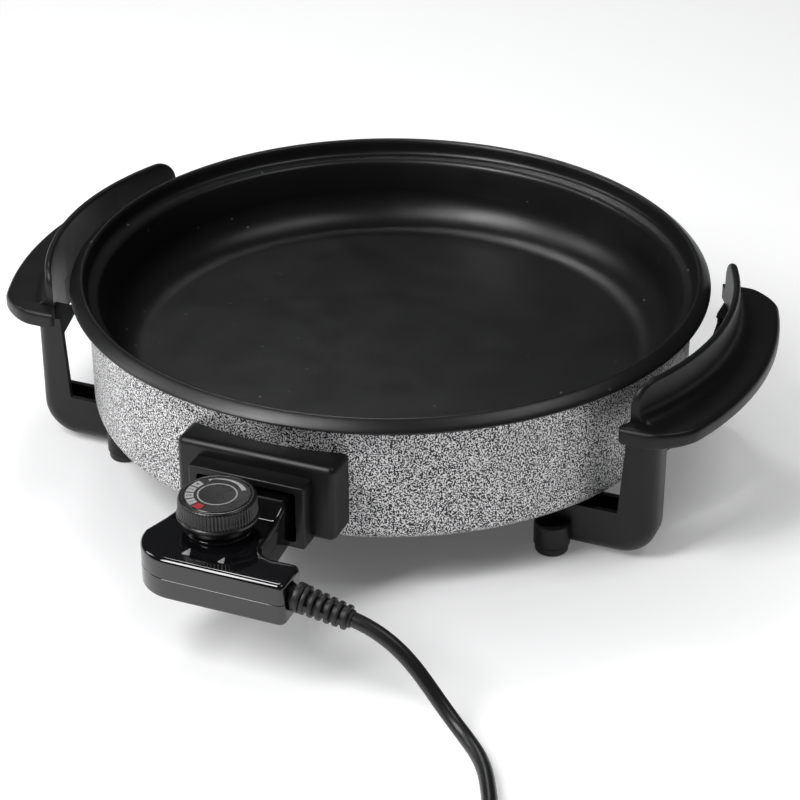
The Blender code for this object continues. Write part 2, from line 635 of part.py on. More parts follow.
def make_case(finishes, body):
    """The two halves of the case, its three screws, the bezel and the strain relief."""
    tilt = Matrix.Rotation(pi / 2 + RELIEF_DROP, 4, "Y")
    relief_hole = turned("relief_hole", [(0, -0.004), (0.0066, -0.004), (0.0066, 0.012), (0, 0.012)])
    relief_hole.transform(Matrix.Translation(RELIEF_START) @ tilt)
    outline, inside = case_outline(0.0), case_outline(CASE_WALL)
    spots = ((-0.0265, -0.2830), (0.0365, -0.2945), (0.0215, -0.2420))

    upper = place(
        "case_upper", extruded("case_upper", outline, CASE_SEAM + GAP, CASE_TOP),
        finishes["case_plastic"], body,
    )
    combine(upper, "UNION", lofted("neck_upper", neck_ramp(0.0, CASE_SEAM + GAP)))
    combine(upper, "DIFFERENCE", extruded("room_upper", inside, 0.050, CASE_TOP - CASE_WALL))
    combine(upper, "DIFFERENCE", lofted("throat_upper", neck_ramp(CASE_WALL, 0.050)))
    for i, (x, y) in enumerate(spots):
        boss = rod(f"case_boss_{i}", 0.0034, (x, y, CASE_SEAM + GAP), (x, y, CASE_TOP - 0.001), 12)
        combine(upper, "UNION", boss)
    for i, (x, y) in enumerate(spots):
        pilot = rod(f"case_pilot_{i}", 0.0015, (x, y, 0.060), (x, y, CASE_TOP - 0.004), 10)
        combine(upper, "DIFFERENCE", pilot)
    spindle_hole = rod("spindle_hole", 0.0045, (0, KNOB_Y, 0.070), (0, KNOB_Y, 0.080))
    seat_low, seat_high = (0, KNOB_Y, CASE_TOP + 0.0001), (0, KNOB_Y, 0.085)
    bezel_seat = rod("bezel_seat", BEZEL_R + 0.0005, seat_low, seat_high, 32)
    combine(upper, "DIFFERENCE", spindle_hole, bezel_seat, relief_hole)

    lower = place(
        "case_lower", extruded("case_lower", outline, CASE_LOW, CASE_SEAM),
        finishes["case_plastic"], body,
    )
    low, high = (-NECK_HALF, NECK_STEP_Y - 0.004, NECK_LOW), (NECK_HALF, NECK_END_Y, CASE_SEAM)
    combine(lower, "UNION", block("neck_lower", low, high))
    combine(lower, "DIFFERENCE", extruded("room_lower", inside, CASE_LOW + CASE_WALL, 0.080))
    inner = NECK_HALF - CASE_WALL
    low = (-inner, NECK_STEP_Y - 0.010, NECK_LOW + 0.0018)
    throat = block("throat_lower", low, (inner, NECK_END_Y + 0.01, 0.080))
    combine(lower, "DIFFERENCE", throat)
    for i, (x, y) in enumerate(spots):
        boss = rod(f"case_pillar_{i}", 0.0042, (x, y, CASE_LOW + 0.001), (x, y, CASE_SEAM), 12)
        combine(lower, "UNION", boss)
    for i, (x, y) in enumerate(spots):
        hole = rod(f"case_hole_{i}", 0.0019, (x, y, 0.040), (x, y, 0.070), 10)
        sink = rod(f"case_sink_{i}", 0.0031, (x, y, 0.040), (x, y, 0.0530), 12)
        combine(lower, "DIFFERENCE", hole, sink)
    combine(lower, "DIFFERENCE", relief_hole.copy())
    for i, (x, y) in enumerate(spots):
        screw = turned("case_screw", screw_profile(0.0028, 0.0020, 0.0012, 0.0160), 12)
        place(f"case_screw_{i + 1}", screw, finishes["steel"], body, (x, y, 0.0530 - GAP))

    relief = turned("strain_relief", relief_profile())
    place(
        "strain_relief", relief, finishes["rubber"], body, RELIEF_START,
        (0, pi / 2 + RELIEF_DROP, 0),
    )

    bezel = [
        (BEZEL_R - 0.0006, KNOB_LOW - 0.0004), (BEZEL_R, KNOB_LOW - 0.001),
        (BEZEL_R, CASE_TOP + 0.0004), (0.0048, CASE_TOP + 0.0004), (0.0048, KNOB_LOW - 0.0004),
    ]
    place(
        "knob_bezel", turned("knob_bezel", bezel, 32), finishes["case_plastic"], body,
        (0, KNOB_Y, 0),
    )


def relief_profile():
    """A ribbed sleeve that tapers, moulded round the cord, with a flange inside the case."""
    inside = CORD_R + GAP
    points = [(inside, -0.0040), (0.0082, -0.0040), (0.0082, -0.0010), (0.0062, -0.0010)]
    points += [(0.0062, 0.0058)]
    ribs, first = 6, 0.0068
    pitch = (RELIEF_LENGTH - first) / ribs
    for i in range(ribs):
        start = first + i * pitch
        radius = 0.0088 - 0.0014 * i / (ribs - 1)
        points += [(radius, start + 0.0006), (radius, start + pitch - 0.0022)]
        points += [(radius - 0.0014, start + pitch - 0.0010)]
    return points + [(inside, RELIEF_LENGTH)]


def make_inner_works(finishes, body):
    """What the case holds: the contact block and its sleeves, the probe and the switch."""
    low = (-0.021, -0.233, 0.0550)
    contact = place(
        "contact_block", block("contact_block", low, (0.021, -0.2142, 0.0760), 0.0008),
        finishes["ceramic"], body,
    )
    bores = [(-PIN_X, PIN_Z, 0.0042), (PIN_X, PIN_Z, 0.0042), (0.0, PROBE_Z, 0.0027)]
    for i, (x, z, radius) in enumerate(bores):
        bore = rod(f"contact_bore_{i}", radius, (x, -0.240, z), (x, -0.200, z))
        combine(contact, "DIFFERENCE", bore)
    for side, word in ((-1, "left"), (1, "right")):
        sleeve = [
            (0, 0), (0.0039, 0), (0.0039, 0.018), (0.0028, 0.018), (0.0028, 0.002), (0, 0.002),
        ]
        place(
            f"contact_sleeve_{word}", turned(f"contact_sleeve_{word}", sleeve),
            finishes["brass"], body, (side * PIN_X, -0.2325, PIN_Z), (-pi / 2, 0, 0),
        )
    probe = rod("sensor_probe", PROBE_R, (0, -0.2435, PROBE_Z), (0, -0.1280, PROBE_Z), 12, 0.001)
    place("sensor_probe", probe, finishes["steel"], body)
    low = (-0.0115, KNOB_Y - 0.012, CASE_LOW + CASE_WALL + GAP)
    switch = block("thermostat_switch", low, (0.0115, KNOB_Y + 0.0160, 0.0655), 0.001)
    place("thermostat_switch", switch, finishes["ceramic"], body)


def make_knob(finishes, body):
    """The control knob on its spindle, with the printed dial set into its top."""
    knob = empty("knob_axis", (0, KNOB_Y, 0), body)
    recess = KNOB_TOP - 0.0008
    profile = [
        (0.0197, recess), (0.0197, KNOB_TOP), (0.0210, KNOB_TOP), (0.0223, KNOB_TOP - 0.0007),
        (KNOB_R, KNOB_TOP - 0.0022), (0.0234, 0.0874), (KNOB_FLANGE_R, 0.0868),
        (KNOB_FLANGE_R, 0.0848), (0.0222, 0.0834), (0.0214, KNOB_LOW), (0.0194, KNOB_LOW),
        (0.0194, 0.0935), (0.0068, 0.0935), (0.0068, 0.0816), (SPINDLE_R + GAP, 0.0816),
        (SPINDLE_R + GAP, 0.0925), (0, 0.0925), (0, recess),
    ]
    place("knob", turned("knob", profile[-1:] + profile[:-1], 32), finishes["dial_plastic"], knob)
    dial = [(0, recess + GAP), (0.0194, recess + GAP), (0.0194, KNOB_TOP), (0, KNOB_TOP)]
    place("dial_plate", turned("dial_plate", dial, 32), finishes["dial_plastic"], knob)
    spindle = rod("knob_spindle", SPINDLE_R, (0, 0, 0.0658), (0, 0, 0.0922), 16, 0.0005)
    place("knob_spindle", spindle, finishes["steel"], knob)


# ---- cord ----
def cord_route():
    """The cord from inside its strain relief to the coil: it droops to the table and turns."""
    start = Vector(RELIEF_START)
    along = Vector((cos(RELIEF_DROP), 0, -sin(RELIEF_DROP)))
    return [
        tuple(start + along * (RELIEF_LENGTH - 0.006)),
        tuple(start + along * (RELIEF_LENGTH + 0.001)),
        (0.1055, -0.2901, 0.0532),
        (0.1155, -0.2904, 0.0488),
        (0.1255, -0.2910, 0.0424),
        (0.1350, -0.2920, 0.0342),
        (0.1440, -0.2938, 0.0252),
        (0.1530, -0.2966, 0.0168),
        (0.1625, -0.3010, 0.0102),
        (0.1725, -0.3075, 0.0062),
        (0.1825, -0.3170, 0.0048),
        (0.1915, -0.3300, 0.0048),
        (0.1995, -0.3460, 0.0048),
        (0.2075, -0.3640, 0.0048),
        (0.2190, -0.3840, 0.0048),
        (0.2305, -0.4050, 0.0048),
    ]


def make_cord(finishes, body):
    """The free run of the cord, the solid of its coil, and the plug that lies beside it."""
    points = smooth_curve(cord_route(), 4.4 * CORD_R)
    tube("cord", points, CORD_R, finishes["cord_pvc"], body)
    ring = [
        (COIL_IN_R, 0.0003), (COIL_OUT_R, 0.0003), (COIL_OUT_R, 0.0070), (0.0525, COIL_TOP),
        (0.0400, COIL_TOP), (COIL_IN_R, 0.0110),
    ]
    place("cord_coil", turned("cord_coil", ring, 36), finishes["cord_pvc"], body, (*COIL_CENTRE, 0))

    stations = [
        (0.0, 0.0055, 0.0055), (0.018, 0.0066, 0.0066), (0.023, 0.0110, 0.0094),
        (0.030, 0.0165, 0.0122), (0.044, 0.0180, 0.0125), (0.0505, 0.0180, 0.0125),
        (0.052, 0.0168, 0.0113),
    ]
    x, y, z = PLUG_BACK
    angles = [2 * pi * i / 20 for i in range(20)]
    rings = []
    for along, half_wide, half_high in stations:
        oval = [(y + half_wide * cos(a), z + half_high * sin(a)) for a in angles]
        rings.append([(x - along, *point) for point in oval])
    place("plug_body", lofted("plug_body", rings, 50), finishes["case_plastic"], body)
    for i, side in ((1, -1), (2, 1)):
        tip = (x - 0.0713, y + side * 0.0095, z)
        pin = rod(f"plug_pin_{i}", 0.0024, (x - 0.0523, tip[1], z), tip, 12, 0.0008)
        place(f"plug_pin_{i}", pin, finishes["brass"], body)


# ---- assembly ----
def main():
    for old in list(bpy.data.objects):
        bpy.data.objects.remove(old, do_unlink=True)
    finishes = make_finishes()
    griddle = empty("griddle", (0, PAN_Y, 0))
    make_pan(finishes, griddle)
    make_socket(finishes, griddle)
    make_grips(finishes, griddle)
    make_legs(finishes, griddle)
    thermostat = empty("thermostat", (0, 0, 0), griddle)
    make_case(finishes, thermostat)
    make_inner_works(finishes, thermostat)
    make_knob(finishes, thermostat)
    make_cord(finishes, thermostat)


main()
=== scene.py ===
"""Looks of the electric griddle pan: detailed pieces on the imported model, materials, light and camera.

Metres. Everything is drawn about the pan's axis, as the sub-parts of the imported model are, and
each piece's object stands on that axis. A piece rides on the body whose sub-parts it replaces.
"""

from math import cos, pi, radians, sin, sqrt, tan

import bmesh
import bpy
from mathutils import Matrix, Vector


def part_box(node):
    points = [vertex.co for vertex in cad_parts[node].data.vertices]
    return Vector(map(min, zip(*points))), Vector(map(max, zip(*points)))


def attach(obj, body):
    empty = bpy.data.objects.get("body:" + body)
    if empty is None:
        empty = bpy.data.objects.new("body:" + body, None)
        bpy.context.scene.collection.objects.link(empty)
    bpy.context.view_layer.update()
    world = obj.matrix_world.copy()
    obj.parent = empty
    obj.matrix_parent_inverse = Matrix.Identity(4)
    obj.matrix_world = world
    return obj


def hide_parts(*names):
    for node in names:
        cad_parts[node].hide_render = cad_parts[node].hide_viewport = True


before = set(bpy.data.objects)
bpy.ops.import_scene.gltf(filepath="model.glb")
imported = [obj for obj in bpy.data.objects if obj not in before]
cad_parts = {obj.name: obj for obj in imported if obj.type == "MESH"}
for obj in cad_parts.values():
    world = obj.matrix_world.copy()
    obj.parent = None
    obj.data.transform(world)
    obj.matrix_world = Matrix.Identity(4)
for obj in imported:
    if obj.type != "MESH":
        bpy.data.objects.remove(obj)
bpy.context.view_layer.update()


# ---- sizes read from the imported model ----
def frame_box(node):
    """A node's lowest and highest corners, from the pan's axis."""
    low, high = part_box(node)
    return low - AXIS, high - AXIS


def half_width(node):
    low, high = frame_box(node)
    return (high.x - low.x) / 2


def heights(node):
    low, high = frame_box(node)
    return low.z, high.z


def middle(node):
    low, high = frame_box(node)
    return (low + high) / 2


AXIS = sum(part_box("pan"), Vector()) / 2
AXIS.z = 0.0
GAP, FLOOR_THICK = 0.0003, 0.005
RIM_R, FLOOR_UNDER, RIM_TOP = half_width("pan"), *heights("pan")
FLOOR_Z = FLOOR_UNDER + FLOOR_THICK
SHELL_TOP_R, SHELL_BOTTOM, SHELL_TOP_Z = half_width("outer_shell"), *heights("outer_shell")
LEG_OUT_X, LEG_TOP = frame_box("leg_front_right")[1].xz
GRIP_LOW, SHIELD_TOP = LEG_TOP + GAP, heights("grip_right")[1]
CASE_LOW, CASE_SEAM = heights("case_lower")
CASE_LEFT_X, CASE_FRONT_Y = frame_box("case_lower")[0].xy
CASE_RIGHT_X = frame_box("case_lower")[1].x
NECK_END_Y, NECK_TOP = frame_box("case_upper")[1].yz
KNOB_Y, KNOB_LOW, KNOB_TOP = middle("knob").y, *heights("knob")
KNOB_FLANGE_R, BEZEL_R, DIAL_R = half_width("knob"), half_width("knob_bezel"), half_width("dial_plate")

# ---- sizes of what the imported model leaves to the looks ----
FLOOR_R, WALL_R = 0.162, 0.186
SHELL_LOW_R, SHELL_LOW_Z, SHELL_THICK, FLANGE_IN_R = 0.1964, 0.044, 0.0012, 0.178
SHELL_SLOPE = (SHELL_TOP_R - SHELL_LOW_R) / (SHELL_TOP_Z - SHELL_LOW_Z)
CASE_TOP, CASE_WALL, CASE_SCREW_SEAT = 0.0755, 0.0025, 0.0530
NECK_HALF, NECK_STEP_Y, NECK_FOOT_Y = 0.0285, -0.226, -0.246
RELIEF_START, RELIEF_LENGTH, RELIEF_DROP = Vector((0.0555, -0.290, 0.0636)), 0.0420, radians(11)
CORD_R, CORD_LENGTH = 0.0045, 1.34
COIL_CENTRE, COIL_TURNS_R = (0.192, -0.462), (0.059, 0.050, 0.041)
PLUG_BACK, PLUG_LENGTH = Vector((0.1375, -0.5075, 0.0128)), 0.052
TAU = 2 * pi
JOIN, CUT = "UNION", "DIFFERENCE"


# ---- shaping ----
def new_object(name, data):
    made = bpy.data.objects.new(name, data)
    bpy.context.scene.collection.objects.link(made)
    return made


def evaluated_mesh(holder):
    """The mesh of an object with its modifiers applied."""
    graph = bpy.context.evaluated_depsgraph_get()
    return bpy.data.meshes.new_from_object(holder.evaluated_get(graph))


def smooth_step(t):
    t = min(1.0, max(0.0, t))
    return t * t * (3 - 2 * t)


def mesh_from(name, shape, smooth=32):
    """The bmesh as a mesh that faces out, smooth except at edges sharper than this many degrees."""
    bmesh.ops.recalc_face_normals(shape, faces=shape.faces)
    mesh = bpy.data.meshes.new(name)
    shape.to_mesh(mesh)
    shape.free()
    mesh.shade_smooth()
    mesh.set_sharp_from_angle(angle=radians(smooth))
    return mesh


def skinned(name, rings, smooth=32, closed=False):
    """A skin over rings of equally many points: capped at both ends, or closed into a loop."""
    shape = bmesh.new()
    loops = [[shape.verts.new(point) for point in ring] for ring in rings]
    pairs = list(zip(loops, loops[1:]))
    if closed:
        pairs.append((loops[-1], loops[0]))
    for low, high in pairs:
        for i in range(len(low)):
            j = (i + 1) % len(low)
            shape.faces.new((low[i], low[j], high[j], high[i]))
    if not closed:
        shape.faces.new(loops[0])
        shape.faces.new(reversed(loops[-1]))
    return mesh_from(name, shape, smooth)


def turned(name, profile, sides=64, smooth=32, ripple=None):
    """A solid of revolution about Z from (radius, height) points; ripple(angle, i) adds to a radius."""
    shape = bmesh.new()
    rings = []
    for i, (r, z) in enumerate(profile):
        if r <= 0:
            rings.append([shape.verts.new((0, 0, z))])
            continue
        ring = []
        for k in range(sides):
            angle = TAU * k / sides
            reach = r + (ripple(angle, i) if ripple else 0.0)
            ring.append(shape.verts.new((reach * cos(angle), reach * sin(angle), z)))
        rings.append(ring)
    last = len(rings) if profile[0][0] > 0 else len(rings) - 1
    for i in range(last):
        low, high = rings[i], rings[(i + 1) % len(rings)]
        for k in range(sides):
            j = (k + 1) % sides
            corners = [low[k % len(low)], low[j % len(low)], high[j % len(high)], high[k % len(high)]]
            corners = list(dict.fromkeys(corners))
            if len(corners) > 2:
                shape.faces.new(corners)
    return mesh_from(name, shape, smooth)


def arc(centre, radius, start, end, pieces):
    """Points on an arc in a plane, angles in degrees, both ends included."""
    angles = [radians(start + (end - start) * i / pieces) for i in range(pieces + 1)]
    return [(centre[0] + radius * cos(a), centre[1] + radius * sin(a)) for a in angles]


def quarter_ellipse(centre_r, centre_z, across, up, pieces=16):
    angles = [pi / 2 * i / pieces for i in range(pieces + 1)]
    return [(centre_r + across * sin(a), centre_z + up * (1 - cos(a))) for a in angles]


def rounded(points, radius, pieces=4):
    """A closed plane outline with each corner replaced by an arc of the radius."""
    result = []
    for i, corner in enumerate(points):
        corner = Vector(corner)
        back = (Vector(points[i - 1]) - corner).normalized()
        on = (Vector(points[(i + 1) % len(points)]) - corner).normalized()
        half = back.angle(on) / 2
        centre = corner + (back + on).normalized() * radius / sin(half)
        first = corner + back * radius / tan(half) - centre
        final = corner + on * radius / tan(half) - centre
        turn = first.angle_signed(final)
        for k in range(pieces + 1):
            result.append(tuple(centre + Matrix.Rotation(-turn * k / pieces, 2) @ first))
    return result


def rounded_block(name, low, high, radius, pieces=5):
    """A box between two corners with its edges rounded."""
    shape = bmesh.new()
    bmesh.ops.create_cube(shape, size=1.0)
    for vert in shape.verts:
        vert.co = [a + (b - a) * (c + 0.5) for a, b, c in zip(low, high, vert.co)]
    bmesh.ops.bevel(
        shape, geom=list(shape.edges), offset=radius, segments=pieces, profile=0.5, affect="EDGES"
    )
    return mesh_from(name, shape, 40)


def along(mesh, start, end):
    """Turns a mesh drawn up Z so that it runs from start towards end."""
    axis = Vector(end) - Vector(start)
    turn = Vector((0, 0, 1)).rotation_difference(axis).to_matrix().to_4x4()
    mesh.transform(Matrix.Translation(start) @ turn)
    return mesh


def rod(name, radius, start, end, sides=48, tip=0.0):
    """A round bar between two points, with its far end rounded by tip."""
    length = (Vector(end) - Vector(start)).length
    profile = [(0, 0), (radius - 0.0002, 0), (radius, 0.0002)]
    profile += arc((radius - tip, length - tip), tip, 0, 90, 5) if tip else [(radius, length)]
    return along(turned(name, profile + [(0, length)], sides), start, end)


def upright(radius, spot, low, high, sides=48):
    """A round bar that stands at a place in plan, between two heights."""
    return rod("upright", radius, (*spot, low), (*spot, high), sides)


def placed(mesh, *where):
    mesh.transform(Matrix.Translation(where))
    return mesh


def tube_curve(name, points, radius):
    """A round tube with filled ends along one open spline."""
    curve = bpy.data.curves.new(name, "CURVE")
    curve.dimensions = "3D"
    curve.bevel_depth = radius
    curve.bevel_resolution = 6
    curve.use_fill_caps = True
    spline = curve.splines.new("POLY")
    spline.points.add(len(points) - 1)
    for point, where in zip(spline.points, points):
        point.co = (*where, 1.0)
    spline.use_smooth = True
    return curve


def smooth_curve(route, step):
    """Points about step apart on a Catmull-Rom curve through the route's points."""
    route = [Vector(point) for point in route]
    ends = [2 * route[0] - route[1], *route, 2 * route[-1] - route[-2]]
    found = []
    for before, start, end, after in zip(ends, ends[1:], ends[2:], ends[3:]):
        pieces = max(1, round((end - start).length / step))
        for i in range(pieces):
            t = i / pieces
            found.append(
                0.5 * (2 * start + t * (end - before)
                       + t * t * (2 * before - 5 * start + 4 * end - after)
                       + t * t * t * (3 * start - before - 3 * end + after))
            )
    return [tuple(point) for point in found] + [tuple(route[-1])]


def combined(mesh, steps, smooth=32):
    """The mesh after each Boolean of the list, given as (JOIN or CUT, mesh)."""
    target = new_object("shaping", mesh)
    tools = []
    for operation, other in steps:
        tool = new_object("tool", other)
        step = target.modifiers.new("step", "BOOLEAN")
        step.operation = operation
        step.solver = "EXACT"
        step.object = tool
        tools.append(tool)
    done = evaluated_mesh(target)
    for used in [target, *tools]:
        bpy.data.objects.remove(used, do_unlink=True)
    done.shade_smooth()
    done.set_sharp_from_angle(angle=radians(smooth))
    return done


def mirrored(mesh, flip_x, flip_y):
    """A copy of the mesh mirrored across the pan's axis in X, in Y or in both."""
    copy = mesh.copy()
    copy.transform(Matrix.Diagonal((-1 if flip_x else 1, -1 if flip_y else 1, 1, 1)))
    if flip_x != flip_y:
        copy.flip_normals()
    return copy


def piece(name, data, material, body, *replaced):
    """A piece on the pan's axis that rides on a body and stands for the nodes it replaces."""
    data.name = name
    data.materials.clear()
    data.materials.append(material)
    made = new_object("vis_" + name, data)
    made.location = AXIS
    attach(made, body)
    if replaced:
        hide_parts(*replaced)
    return made


# ---- materials ----
class Surface:
    """A Principled material whose variation comes from procedural textures in object space."""

    def __init__(self, name, colour, roughness, metallic=0.0, specular=0.5):
        self.material = bpy.data.materials.new(name)
        self.material.use_nodes = True
        self.nodes = self.material.node_tree.nodes
        self.links = self.material.node_tree.links
        self.shader = self.nodes["Principled BSDF"]
        self.set(self.shader, "Base Color", (*colour, 1.0))
        self.set(self.shader, "Roughness", roughness)
        self.set(self.shader, "Metallic", metallic)
        self.set(self.shader, "Specular IOR Level", specular)
        self.space = self.nodes.new("ShaderNodeTexCoord").outputs["Object"]

    def set(self, node, socket, value):
        if isinstance(value, bpy.types.NodeSocket):
            self.links.new(value, node.inputs[socket])
        else:
            node.inputs[socket].default_value = value

    def noise(self, scale, detail=3.0, rough=0.5, distortion=0.0, space=None):
        node = self.nodes.new("ShaderNodeTexNoise")
        self.links.new(space or self.space, node.inputs["Vector"])
        for socket, value in (("Scale", scale), ("Detail", detail), ("Roughness", rough)):
            self.set(node, socket, value)
        self.set(node, "Distortion", distortion)
        return node.outputs["Fac"]

    def cells(self, scale):
        """A random number for each small cell of the surface."""
        node = self.nodes.new("ShaderNodeTexVoronoi")
        self.links.new(self.space, node.inputs["Vector"])
        self.set(node, "Scale", scale)
        split = self.nodes.new("ShaderNodeSeparateColor")
        self.links.new(node.outputs["Color"], split.inputs["Color"])
        return split.outputs["Red"]

    def stretched(self, factors):
        """The surface's space scaled unevenly, for grain that runs one way."""
        node = self.nodes.new("ShaderNodeMapping")
        self.links.new(self.space, node.inputs["Vector"])
        node.inputs["Scale"].default_value = factors
        return node.outputs["Vector"]

    def span(self, value, from_low, from_high, to_low, to_high):
        """A number moved from one range to another and held to it."""
        node = self.nodes.new("ShaderNodeMapRange")
        for socket, given in (
            ("Value", value), ("From Min", from_low), ("From Max", from_high),
            ("To Min", to_low), ("To Max", to_high),
        ):
            self.set(node, socket, given)
        return node.outputs["Result"]

    def between(self, value, dark, light):
        """A colour mixed by a number from 0 to 1. Either end may itself be a mix."""
        node = self.nodes.new("ShaderNodeMix")
        node.data_type = "RGBA"
        self.set(node, 0, value)
        for socket, end in ((6, dark), (7, light)):
            self.set(node, socket, end if isinstance(end, bpy.types.NodeSocket) else (*end, 1.0))
        return node.outputs[2]

    def colour(self, value):
        self.set(self.shader, "Base Color", value)

    def roughness(self, value):
        self.set(self.shader, "Roughness", value)

    def bump(self, *heights):
        """Bumps laid over each other, each a (height, strength, depth in metres)."""
        normal = None
        for height, strength, depth in heights:
            node = self.nodes.new("ShaderNodeBump")
            self.set(node, "Height", height)
            self.set(node, "Strength", strength)
            self.set(node, "Distance", depth)
            if normal:
                self.set(node, "Normal", normal)
            normal = node.outputs["Normal"]
        self.set(self.shader, "Normal", normal)


def non_stick():
    """Black non-stick coating: satin, finely pebbled, with a rare pale speck."""
    surface = Surface("non_stick", (0.0045, 0.0045, 0.0050), 0.34, specular=0.5)
    speck = surface.span(surface.cells(700), 0.9995, 0.9999, 0.0, 1.0)
    surface.colour(surface.between(speck, (0.0042, 0.0042, 0.0048), (0.12, 0.12, 0.12)))
    cloud = surface.noise(30, 4)
    grain = surface.noise(1500, 3, 0.6)
    surface.roughness(surface.span(cloud, 0.3, 0.7, 0.30, 0.37))
    surface.bump((grain, 0.22, 0.0004), (surface.noise(420, 2), 0.06, 0.0006))
    return surface.material


def hammered_paint():
    """Hammered paint: pale metallic worms over black, half a millimetre wide and slightly raised."""
    surface = Surface("hammered_paint", (0.2, 0.2, 0.21), 0.42, specular=0.5)
    worms = surface.noise(1180, 0.0, 0.5, 0.2)
    tone = surface.noise(70, 3)
    grain = surface.span(worms, 0.497, 0.517, 0.0, 1.0)
    ground = surface.between(tone, (0.003, 0.003, 0.004), (0.007, 0.007, 0.008))
    pale = surface.between(tone, (0.74, 0.74, 0.745), (0.88, 0.88, 0.885))
    surface.colour(surface.between(grain, ground, pale))
    surface.set(surface.shader, "Metallic", surface.span(grain, 0.0, 1.0, 0.0, 0.35))
    surface.roughness(surface.span(grain, 0.0, 1.0, 0.45, 0.36))
    surface.bump((grain, 0.4, 0.00025), (surface.noise(260, 2), 0.10, 0.0005))
    return surface.material


def black_moulding(name, tint, rough, specular, grain_scale, grain_depth):
    """Black moulded plastic or rubber: uneven gloss over a fine moulded grain."""
    surface = Surface(name, tint, rough[1], specular=specular)
    cloud = surface.noise(38, 6, 0.65)
    light = [1.5 * part for part in tint]
    surface.colour(surface.between(cloud, tint, light))
    surface.roughness(surface.span(cloud, 0.3, 0.7, *rough))
    surface.bump((surface.noise(grain_scale, 3), grain_depth, 0.0003), (surface.noise(55, 2), 0.04, 0.001))
    return surface.material


def dial_print(name, colour, worn):
    """Printed ink that lets a little of the plastic through."""
    surface = Surface(name, colour, 0.5, specular=0.35)
    wear = surface.span(surface.noise(900, 4, 0.7), 0.30, 0.62, 0.0, 1.0)
    surface.colour(surface.between(wear, worn, colour))
    surface.roughness(surface.span(wear, 0.0, 1.0, 0.40, 0.55))
    surface.bump((wear, 0.1, 0.0001))
    return surface.material


def metal(name, dark, light, rough_low, rough_high, stretch=(900, 900, 60)):
    """Plain metal with fine marks that run one way and a patchy tone."""
    surface = Surface(name, light, rough_high, metallic=1.0)
    marks = surface.noise(1.0, 4, 0.6, space=surface.stretched(stretch))
    tone = surface.noise(55, 4)
    surface.colour(surface.between(tone, dark, light))
    surface.roughness(surface.span(marks, 0.3, 0.7, rough_low, rough_high))
    surface.bump((marks, 0.08, 0.0002))
    return surface.material


def ceramic():
    """Unglazed off-white ceramic with fine specks."""
    surface = Surface("ceramic", (0.72, 0.70, 0.64), 0.65)
    speck = surface.span(surface.cells(900), 0.93, 0.97, 0.0, 1.0)
    surface.colour(surface.between(speck, (0.73, 0.71, 0.65), (0.42, 0.38, 0.32)))
    surface.roughness(surface.span(surface.noise(220, 3), 0.3, 0.7, 0.55, 0.75))
    surface.bump((surface.noise(800, 3), 0.15, 0.0003))
    return surface.material


def floor_paper():
    """Seamless white studio paper that glows evenly, with a painted shadow: it glows less near and under the
    pan.
    """
    surface = Surface("floor_paper", (0.86, 0.86, 0.87), 0.9, specular=0.1)
    tooth = surface.noise(8, 3)
    surface.colour(surface.between(tooth, (0.855, 0.855, 0.865), (0.865, 0.865, 0.872)))
    surface.set(surface.shader, "Emission Color", (1.0, 1.0, 1.0, 1.0))
    # Painted shadow: the glow falls off towards the middle, near and under the pan, where a cast shadow
    # would be.
    reach = surface.nodes.new("ShaderNodeVectorMath")
    reach.operation = "LENGTH"
    surface.links.new(surface.space, reach.inputs[0])
    glow_with_painted_shadow = surface.span(reach.outputs["Value"], PAINTED_SHADOW_FADE_FROM, PAINTED_SHADOW_FADE_TO, PAINTED_SHADOW_GLOW, FLOOR_GLOW)
    surface.set(surface.shader, "Emission Strength", glow_with_painted_shadow)
    return surface.material


# The floor's even glow, the weaker glow of the painted shadow under the pan, and the distances from the
# middle over which that painted shadow fades out.
FLOOR_GLOW, PAINTED_SHADOW_GLOW, PAINTED_SHADOW_FADE_FROM, PAINTED_SHADOW_FADE_TO = 0.40, 0.08, 0.14, 0.30
NON_STICK, HAMMERED = non_stick(), hammered_paint()
BAKELITE = black_moulding("bakelite", (0.0046, 0.0046, 0.0052), (0.33, 0.43), 0.33, 1300, 0.06)
CASE_PLASTIC = black_moulding("case_plastic", (0.0030, 0.0030, 0.0036), (0.03, 0.09), 0.8, 300, 0.01)
KNOB_PLASTIC = black_moulding("knob_plastic", (0.0065, 0.0065, 0.0070), (0.22, 0.32), 0.5, 900, 0.05)
RUBBER = black_moulding("rubber", (0.0085, 0.0085, 0.0085), (0.40, 0.56), 0.45, 1400, 0.10)
CORD_SHEATH = black_moulding("cord_sheath", (0.0075, 0.0075, 0.0080), (0.30, 0.42), 0.5, 800, 0.05)
WHITE_INK = dial_print("white_ink", (0.42, 0.42, 0.42), (0.22, 0.22, 0.22))
GREY_INK = dial_print("grey_ink", (0.36, 0.36, 0.36), (0.18, 0.18, 0.18))
RED_INK = dial_print("red_ink", (0.42, 0.012, 0.014), (0.20, 0.01, 0.01))
STEEL = metal("steel", (0.42, 0.42, 0.43), (0.60, 0.60, 0.60), 0.20, 0.36)
ELEMENT_STEEL = metal("element_steel", (0.10, 0.085, 0.075), (0.26, 0.24, 0.22), 0.38, 0.58)
BRASS = metal("brass", (0.52, 0.38, 0.17), (0.72, 0.56, 0.28), 0.18, 0.34)
CERAMIC = ceramic()

# The record's material slot, where its name isn't the material's own.
SLOT_OF = dict.fromkeys(("knob_plastic", "white_ink", "grey_ink", "red_ink"), "dial_plastic")
SLOT_OF["cord_sheath"] = "cord_pvc"


